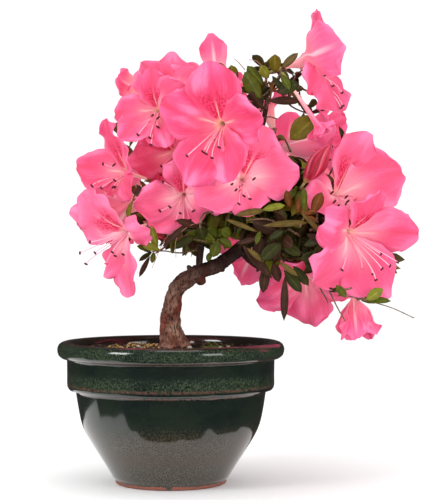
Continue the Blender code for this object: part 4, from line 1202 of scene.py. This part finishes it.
# many small meshes, closed off in batches and joined at the end
class Heap:
    def __init__(self, layerName="UVMap"):
        self.layerName = layerName
        self.done = []
        self.open()

    def open(self):
        self.bm = bmesh.new()
        self.layer = self.bm.loops.layers.uv.new(self.layerName)

    def rest(self, most=1500):
        if len(self.bm.verts) > most:
            mesh = bpy.data.meshes.new("batch")
            self.bm.to_mesh(mesh)
            self.bm.free()
            self.done.append(mesh)
            self.open()
        return self.bm

    def joined(self):
        self.rest(0).free()
        bm = bmesh.new()
        for mesh in self.done:
            bm.from_mesh(mesh)
            bpy.data.meshes.remove(mesh)
        return bm


class Foliage:
    def __init__(self, trees):
        self.leaves, self.twigs = Heap("leaf"), Heap()
        self.trees = trees
        self.spots = []

    def clear(self, points):
        step = leafLook["columns"] + 1
        firsts = [row * step + column for row in range(leafLook["rows"]) for column in range(step - 1)]
        own = BVHTree.FromPolygons(points, [(n, n + 1, n + step + 1, n + step) for n in firsts])
        return not any(own.overlap(tree) for tree in self.trees)

    # whether a leaf has room, hides no petal and keeps the open places open
    def fits(self, points, middle, sure):
        rib = leafLook["columns"] // 2
        checked = [points[row * (leafLook["columns"] + 1) + rib] for row in (2, 3, 4, 6)] + points[-1:]
        if any(inOpenSky(point) for point in checked) or (not sure and isKeptClear(middle)):
            return False
        if any(hidesPetal(point, self.trees[:2]) for point in checked):
            return False
        near = leafLook["spacing"]
        return not any((middle - spot).length < near for spot in self.spots) and self.clear(points)

    # a leaf that was seen in the picture is "kept" by the rule, and a "flat" one isn't tested
    def addLeaf(self, root, way, flat, length, half, palette, draw, sure=""):
        points = leafRows(root, way, flat, length, half, draw, 0.25 if sure == "flat" else 1.0)
        middle = points[len(points) // 2]
        if sure != "flat" and not self.fits(points, middle, sure):
            return
        self.spots.append(middle)
        rows, columns = leafLook["rows"], leafLook["columns"]
        made = newGrid(self.leaves.rest(), columns, rows)
        for face in facesOf(made, 2 * list(palettes).index(palette)):
            for loop in face.loops:
                loop[self.leaves.layer].uv = onGrid(loop.vert)
        for vert in made:
            across, run = onGrid(vert)
            vert.co = points[round(run * rows) * (columns + 1) + round(across * columns)]
        bmesh.ops.remove_doubles(self.leaves.bm, verts=made, dist=0.00003)

    def addTube(self, knots, spacing, around, relief=None, material=0):
        tube(self.twigs.rest(), knots, spacing, around, relief, material)

    def reachable(self, start, end):
        way = end - start
        if way.length < 0.001:
            return False
        if any(hidesPetal(start.lerp(end, share), self.trees[:2]) for share in (0.4, 0.7, 0.95)):
            return False
        if any(inOpenSky(start.lerp(end, share)) for share in (0.3, 0.5, 0.7)):
            return False
        return all(tree.ray_cast(start, way.normalized(), way.length)[0] is None for tree in self.trees)

    def addTwig(self, start, end, foot, tip, draw, material=0):
        way = end - start
        bow = way.orthogonal().normalized() * way.length * draw.uniform(-0.08, 0.08)
        bow.z -= way.length * 0.04
        middle = start.lerp(end, 0.5) + bow
        self.addTube(((*start, foot), (*middle, (foot + tip) / 2), (*end, tip)), 0.004, 5, None, material)

    # a twig from the nearest node that can be reached, or nothing
    def grow(self, nodes, target, foot, tip, draw):
        for node in sorted(nodes, key=lambda item: (item - target).length)[:10]:
            if self.reachable(node, target):
                self.addTwig(node, target, foot, tip, draw)
                steps = max(1, round((target - node).length / 0.007))
                for step in range(1, steps + 1):
                    nodes.append(node.lerp(target, step / steps))
                return node
        return None


def paletteOf(draw):
    pick = draw.random()
    for name, most in (("dark", 0.36), ("green", 0.58), ("olive", 0.78), ("bronze", 0.82), ("brown", 0.94)):
        if pick < most:
            return name
    return "young"


# the stem of a mass, the twigs to its blooms and buds, and the sprigs of its rule
def growMass(foliage, name, mass, draw):
    hub, knots = Vector(mass["hub"]), boughKnots[name]
    path = smoothKnots(knots, 0.0055)
    end = path[-1].xyz
    way = (end - path[-2].xyz).normalized()
    middle = end + way * (hub - end).length * 0.45
    stem = ((*end, knots[-1][3]), (*middle, knots[-1][3] * 0.92), (*hub, 0.0011))
    foliage.addTube(stem, 0.002, 10, lambda p, o, s: barkRelief(p, 0.25))
    nodes = [end.lerp(middle, 0.6), middle, middle.lerp(hub, 0.5), hub]
    ends = []
    for values in mass["blooms"].values():
        base, axis, _ = bloomPlace(values)
        ends.append((base - axis * stalkLength, base + axis * 0.003))
    for foot, tip, _ in mass["buds"]:
        foot, tip = Vector(foot), Vector(tip)
        ends.append((foot.lerp(tip, -0.15), foot.lerp(tip, 0.1)))
    for start, base in sorted(ends, key=lambda pair: (pair[0] - hub).length):
        if foliage.grow(nodes, start, *twigLook["toBloom"], draw) is None:
            nearest = min(nodes, key=lambda item: (item - start).length)
            foliage.addTwig(nearest, start, *twigLook["toBloom"], draw)
        foliage.addTwig(start, base, *twigLook["bloomStalk"], draw, 1)
        cup = start.lerp(base, 0.62)
        cone = ((*cup, 0.001), (*cup.lerp(base, 0.5), 0.0019), (*base, 0.0021))
        foliage.addTube(cone, 0.0012, 8, None, 1)
    for tip, heading, leaves, length in sprigRule(mass):
        if not insideSpace(tip, mass) or inOpenSky(tip):
            continue
        palette = paletteOf(draw)
        blades = leafWhorl(heading, leaves, draw)
        node = foliage.grow(nodes, tip, *twigLook["toSprig"], draw)
        if node is None:
            continue
        back = (node - tip).normalized()
        for index, blade in enumerate(blades):
            root = tip + back * 0.0012 * index
            own = length * draw.uniform(*leafLook["ownLength"])
            if insideSpace(root + blade * own * 0.8, mass):
                half = draw.uniform(*leafLook["ownHalf"])
                foliage.addLeaf(root, blade, heading, own, half, palette, draw)


def makeFoliage(trees):
    foliage = Foliage(trees)
    draw = random.Random(leafLook["seed"])
    for name, mass in masses.items():
        growMass(foliage, name, mass, draw)
    for across, down, depth, heading, rise, leaves, length, opening, palette in seenWhorls:
        spot, heading = pointAt(across, down, depth / 1000.0), spherical(heading, rise)
        for index, blade in enumerate(leafWhorl(heading, leaves, draw, (opening * 0.8, opening * 0.4))):
            root = spot - heading * 0.001 * index
            own = length / 1000.0 * draw.uniform(*leafLook["seenLength"])
            half = draw.uniform(*leafLook["seenHalf"])
            foliage.addLeaf(root, blade, heading, own, half, palette, draw, "kept")
        foliage.addTwig(spot - heading * 0.012, spot, *twigLook["toWhorl"], draw)
    toViewer = Vector((0.0, -1.0, 0.35))
    for rootAcross, rootDown, tipAcross, tipDown, depth, half, palette in seenLeaves:
        root = pointAt(rootAcross, rootDown, depth / 1000.0)
        way = pointAt(tipAcross, tipDown, depth / 1000.0 - 0.004) - root
        foliage.addLeaf(root, way.normalized(), toViewer, way.length, half, palette, draw, "flat")
    for places, depth, foot, tip, kind in seenTwigs:
        depth, foot, tip = metres((depth, foot, tip))
        spots = [pointAt(across, down, depth) for across, down in places]
        last = len(spots) - 1
        knots = [(*spot, foot + (tip - foot) * index / last) for index, spot in enumerate(spots)]
        foliage.addTube(knots, 0.002, 5, None, ("twig", "stalk", "hair").index(kind))
    print("leaves", len(foliage.spots))
    return foliage


def leafMaterials():
    made = []
    for name, (face, back) in palettes.items():
        for side, colour, rough in (("face", face, 0.5), ("back", back, 0.65)):
            paint = Paint("leaf_" + name + "_" + side)
            across = paint.layer("leaf")[0]
            mottle = paint.cloud(paint.place(), 260.0, 2.0)
            paler = tuple(clamp(c * 1.9 + 0.02) for c in colour[:3]) + (1.0,)
            darker = tuple(c * 0.62 for c in colour[:3]) + (1.0,)
            shade = paint.laid(
                colour,
                (paint.fade(abs(across - 0.5), 0.07, 0.02) * 0.55, paler),
                (paint.fade(mottle, 0.42, 0.64) * 0.55, darker),
            )
            made.append(paint.finish(Base_Color=shade, Roughness=rough, Specular_IOR_Level=0.25))
    return made


def twigMaterials():
    paint = Paint("twig_bark")
    grain = paint.cloud(paint.place(), 700.0, 4.0)
    colour = paint.laid(tint(70, 48, 34), (paint.fade(grain, 0.4, 0.6), tint(128, 98, 74)))
    bark = paint.finish(Base_Color=colour, Roughness=0.85)
    return [bark, plainPaint("stalk", tint(142, 134, 78), 0.6), plainPaint("hair", tint(170, 112, 92), 0.6)]


barkTree = BVHTree.FromObject(bpy.data.objects["bark"], bpy.context.evaluated_depsgraph_get())
foliage = makeFoliage([*petalTrees, barkTree])
wall(massPiece("leaves", foliage.leaves.joined(), leafMaterials()), leafLook["wall"])
massPiece("twigs", foliage.twigs.joined(), twigMaterials())
print("leaves and twigs made")


# stamens: thin filaments that sweep down and out of each throat, each with a dark anther

stamenLook = {
    "count": 7, "radius": 0.00034, "antherLength": 0.0034, "antherWidth": 0.0014, "pistil": 0.042,
    "reach": (0.028, 0.036), "seenReach": (0.035, 0.041), "bare": "knrst",
}


# thread and tip are numbers of materials
def makeFilament(heap, place, size, end, radius, thread, tip):
    start = Vector((0.0, 0.0, 0.004 * size))
    first = Vector((end.x * 0.18, end.y * 0.14, throatDepth * 1.05 * size))
    second = Vector((end.x * 0.62, end.y * 0.7, end.z * 0.9))
    bm = heap.rest()
    knots = [(*(place @ spot), radius) for spot in (start, first, second, end)]
    path = tube(bm, knots, 0.0028, 4, None, thread)
    ball = bmesh.ops.create_icosphere(bm, subdivisions=1, radius=1.0)["verts"]
    way = (path[-1].xyz - path[-2].xyz).normalized()
    across = way.orthogonal().normalized()
    turn = Matrix((way.cross(across), way, across)).transposed()
    wide, far = stamenLook["antherWidth"], stamenLook["antherLength"]
    for vert in ball:
        own = Vector((vert.co.x * wide, vert.co.y * wide, vert.co.z * far)) * 0.55
        vert.co = path[-1].xyz + turn @ own
    facesOf(ball, tip)


def makeStamens():
    look = stamenLook
    heap = Heap()
    for key, values in allBlooms:
        if key in look["bare"]:
            continue
        draw = random.Random(ord(key) * 13)
        place = bloomPlace(values)[2]
        size = values[6]
        tips = []
        for across, down in anthersSeen.get(key, ()):
            reach = draw.uniform(*look["seenReach"]) * size
            depth = (place @ Vector((0.0, -0.01 * size, reach))).y
            tips.append(place.inverted() @ pointAt(across, down, depth))
        spread = 0.01 if values[7] > 60 else 0.004
        while len(tips) < look["count"]:
            reach = draw.uniform(*look["reach"]) * size
            side, drop = draw.uniform(-spread, spread) * size, draw.uniform(-0.017, -0.005) * size
            tips.append(Vector((side, drop, reach)))
        for tip in tips:
            makeFilament(heap, place, size, tip, look["radius"], 0, 2)
        tip = Vector((draw.uniform(-0.004, 0.004), -0.014, look["pistil"])) * size
        makeFilament(heap, place, size, tip, look["radius"] * 1.3, 1, 3)
    paints = [
        plainPaint("filament", tint(255, 178, 200), 0.5),
        plainPaint("pistil", tint(250, 140, 170), 0.5),
        plainPaint("anther", tint(86, 22, 36), 0.7),
        plainPaint("stigma", tint(226, 80, 110), 0.4),
    ]
    massPiece("stamens", heap.joined(), paints)


makeStamens()
print("stamens made")


# closed buds: spindles whose petals are still wound round each other

budLook = {
    "shares": (
        (0, 0.18), (0.1, 0.44), (0.24, 0.76), (0.4, 0.98), (0.55, 1), (0.7, 0.8), (0.84, 0.48),
        (0.95, 0.2), (1, 0.05),
    ),
    "turns": 5.0, "twist": 1.4, "step": 0.14,
}


def makeBuds():
    look = budLook
    bm = bmesh.new()
    bm.loops.layers.uv.new("bud")
    for foot, tip, radius in [bud for mass in masses.values() for bud in mass["buds"]]:
        foot, tip = Vector(foot), Vector(tip)
        knots = [(*foot.lerp(tip, at), radius * wide) for at, wide in look["shares"]]
        way = (tip - foot).normalized()
        side = way.orthogonal().normalized()
        other = way.cross(side)

        def wound(spot, out, share):
            angle = math.atan2(out.dot(other), out.dot(side)) + share * look["twist"]
            step = (angle / fullTurn * look["turns"]) % 1.0
            return radius * look["step"] * (step - 0.5) * math.sin(math.pi * clamp(share, 0.02, 0.98))

        tube(bm, knots, 0.0006, 60, wound)
    paint = Paint("bud")
    fade = paint.fade
    turn, run, _ = paint.layer("bud")
    wound = turn * look["turns"] + run * look["twist"] * look["turns"] / fullTurn
    edge = paint.calc("FRACT", wound)
    streak = paint.cloud(paint.joined(wound * 3.0, run * 1.6), 1.0, 3.0, 0.6)
    colour = paint.laid(
        tint(146, 8, 38),
        (fade(streak, 0.42, 0.66), tint(196, 32, 70)),
        (fade(abs(edge - 0.5), 0.34, 0.47) * fade(run, 0.05, 0.4) * 0.45, tint(236, 120, 144)),
        (fade(run, 0.16, 0.04), tint(150, 120, 70)),
    )
    massPiece("buds", bm, [paint.finish(Base_Color=colour, Roughness=0.45)])


makeBuds()
print("buds made")


# stage: a pale floor in a white room, soft light from the left and front, and a dark room that
# only the glaze reflects

stageLook = {
    "floor": 2.6, "floorHeight": -0.0004, "dome": 2.4, "paper": 0.092, "paperHeight": 0.0006,
    "room": 1.06, "lens": 108.3, "nearest": 0.05, "aimHeight": 0.1541,
    "notches": ((-0.86, 0.15, 0.052), (-0.6, 0.1, 0.02), (0.72, 0.1, 0.032), (0.2, 0.1, 0.006)),
    "steps": ((-0.7, -1.2, 0.054), (-1.44, -1.57, 0.06), (1.35, 1.55, 0.02)),
}

# place, power and size of each light
lights = {
    "key": ((-1.3, -0.95, 0.95), 10.5, 0.6),
    "fill": ((0.95, -1.0, 0.5), 3.0, 0.5),
    "low": ((0.45, -1.1, 0.12), 3.5, 0.5),
    "above": ((0.1, -0.2, 1.5), 2.5, 0.7),
}


# how far the pale floor reaches round the pot before the dark starts, by heading from the front
def paperEdge(turn):
    look = stageLook
    edge = look["paper"] - 0.016 * math.cos(turn * 2.0)
    edge += sum(far * smooth(turn, start, end) for start, end, far in look["steps"])
    for middle, wide, far in look["notches"]:
        edge += far * math.exp(-(((turn - middle) / wide) ** 2))
    return edge


# a dark room and a dark sheet on the floor that only the glaze sees
def makeDark():
    dark = plainPaint("dark_room", tint(46, 42, 40), 0.9)
    dome = stageLook["dome"]
    bm = bmesh.new()
    bmesh.ops.create_uvsphere(bm, u_segments=48, v_segments=24, radius=dome)
    room = newPiece("darkRoom", bm, [dark])
    bm = bmesh.new()
    bmesh.ops.create_grid(bm, x_segments=240, y_segments=1, size=1.0)
    for vert in bm.verts:
        turn = vert.co.x * math.pi
        reach = paperEdge(turn) if vert.co.y < 0.0 else dome
        vert.co = Vector((math.sin(turn) * reach, -math.cos(turn) * reach, stageLook["paperHeight"]))
    bmesh.ops.remove_doubles(bm, verts=bm.verts, dist=0.00001)
    sheet = newPiece("darkSheet", bm, [dark])
    for card in (room, sheet):
        card.visible_camera = card.visible_diffuse = False
        card.visible_shadow = card.visible_transmission = False
    return room, sheet


def put(item, place, target):
    item.location = place
    item.rotation_euler = (Vector(target) - Vector(place)).to_track_quat("-Z", "Y").to_euler()
    bpy.context.scene.collection.objects.link(item)
    return item


def makeStage():
    bm = bmesh.new()
    bmesh.ops.create_circle(bm, cap_ends=True, segments=96, radius=stageLook["floor"])
    for vert in bm.verts:
        vert.co.z = stageLook["floorHeight"]
    floor = newPiece("floor", bm, [plainPaint("paper", tint(255, 255, 255), 0.9)])
    lamps = []
    for name, (spot, power, size) in lights.items():
        lamp = bpy.data.lights.new(name, "AREA")
        lamp.energy = power
        lamp.size = size
        lamps.append(put(bpy.data.objects.new(name, lamp), spot, (0.04, 0.0, 0.16)))
        lamps[-1].visible_glossy = name != "low"
    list(makeDark())
    world = bpy.data.worlds.new("room")
    world.use_nodes = True
    world.node_tree.nodes["Background"].inputs["Color"].default_value = tint(255, 255, 255)
    world.node_tree.nodes["Background"].inputs["Strength"].default_value = stageLook["room"]
    bpy.context.scene.world = world
    bpy.context.scene.view_settings.view_transform = "Standard"


def makeCamera():
    data = bpy.data.cameras.new("camera")
    data.lens = stageLook["lens"]
    data.clip_start = stageLook["nearest"]
    camera = bpy.data.objects.new("camera", data)
    bpy.context.scene.camera = put(camera, eye, (eyeX, 0.0, stageLook["aimHeight"]))


makeStage()
makeCamera()
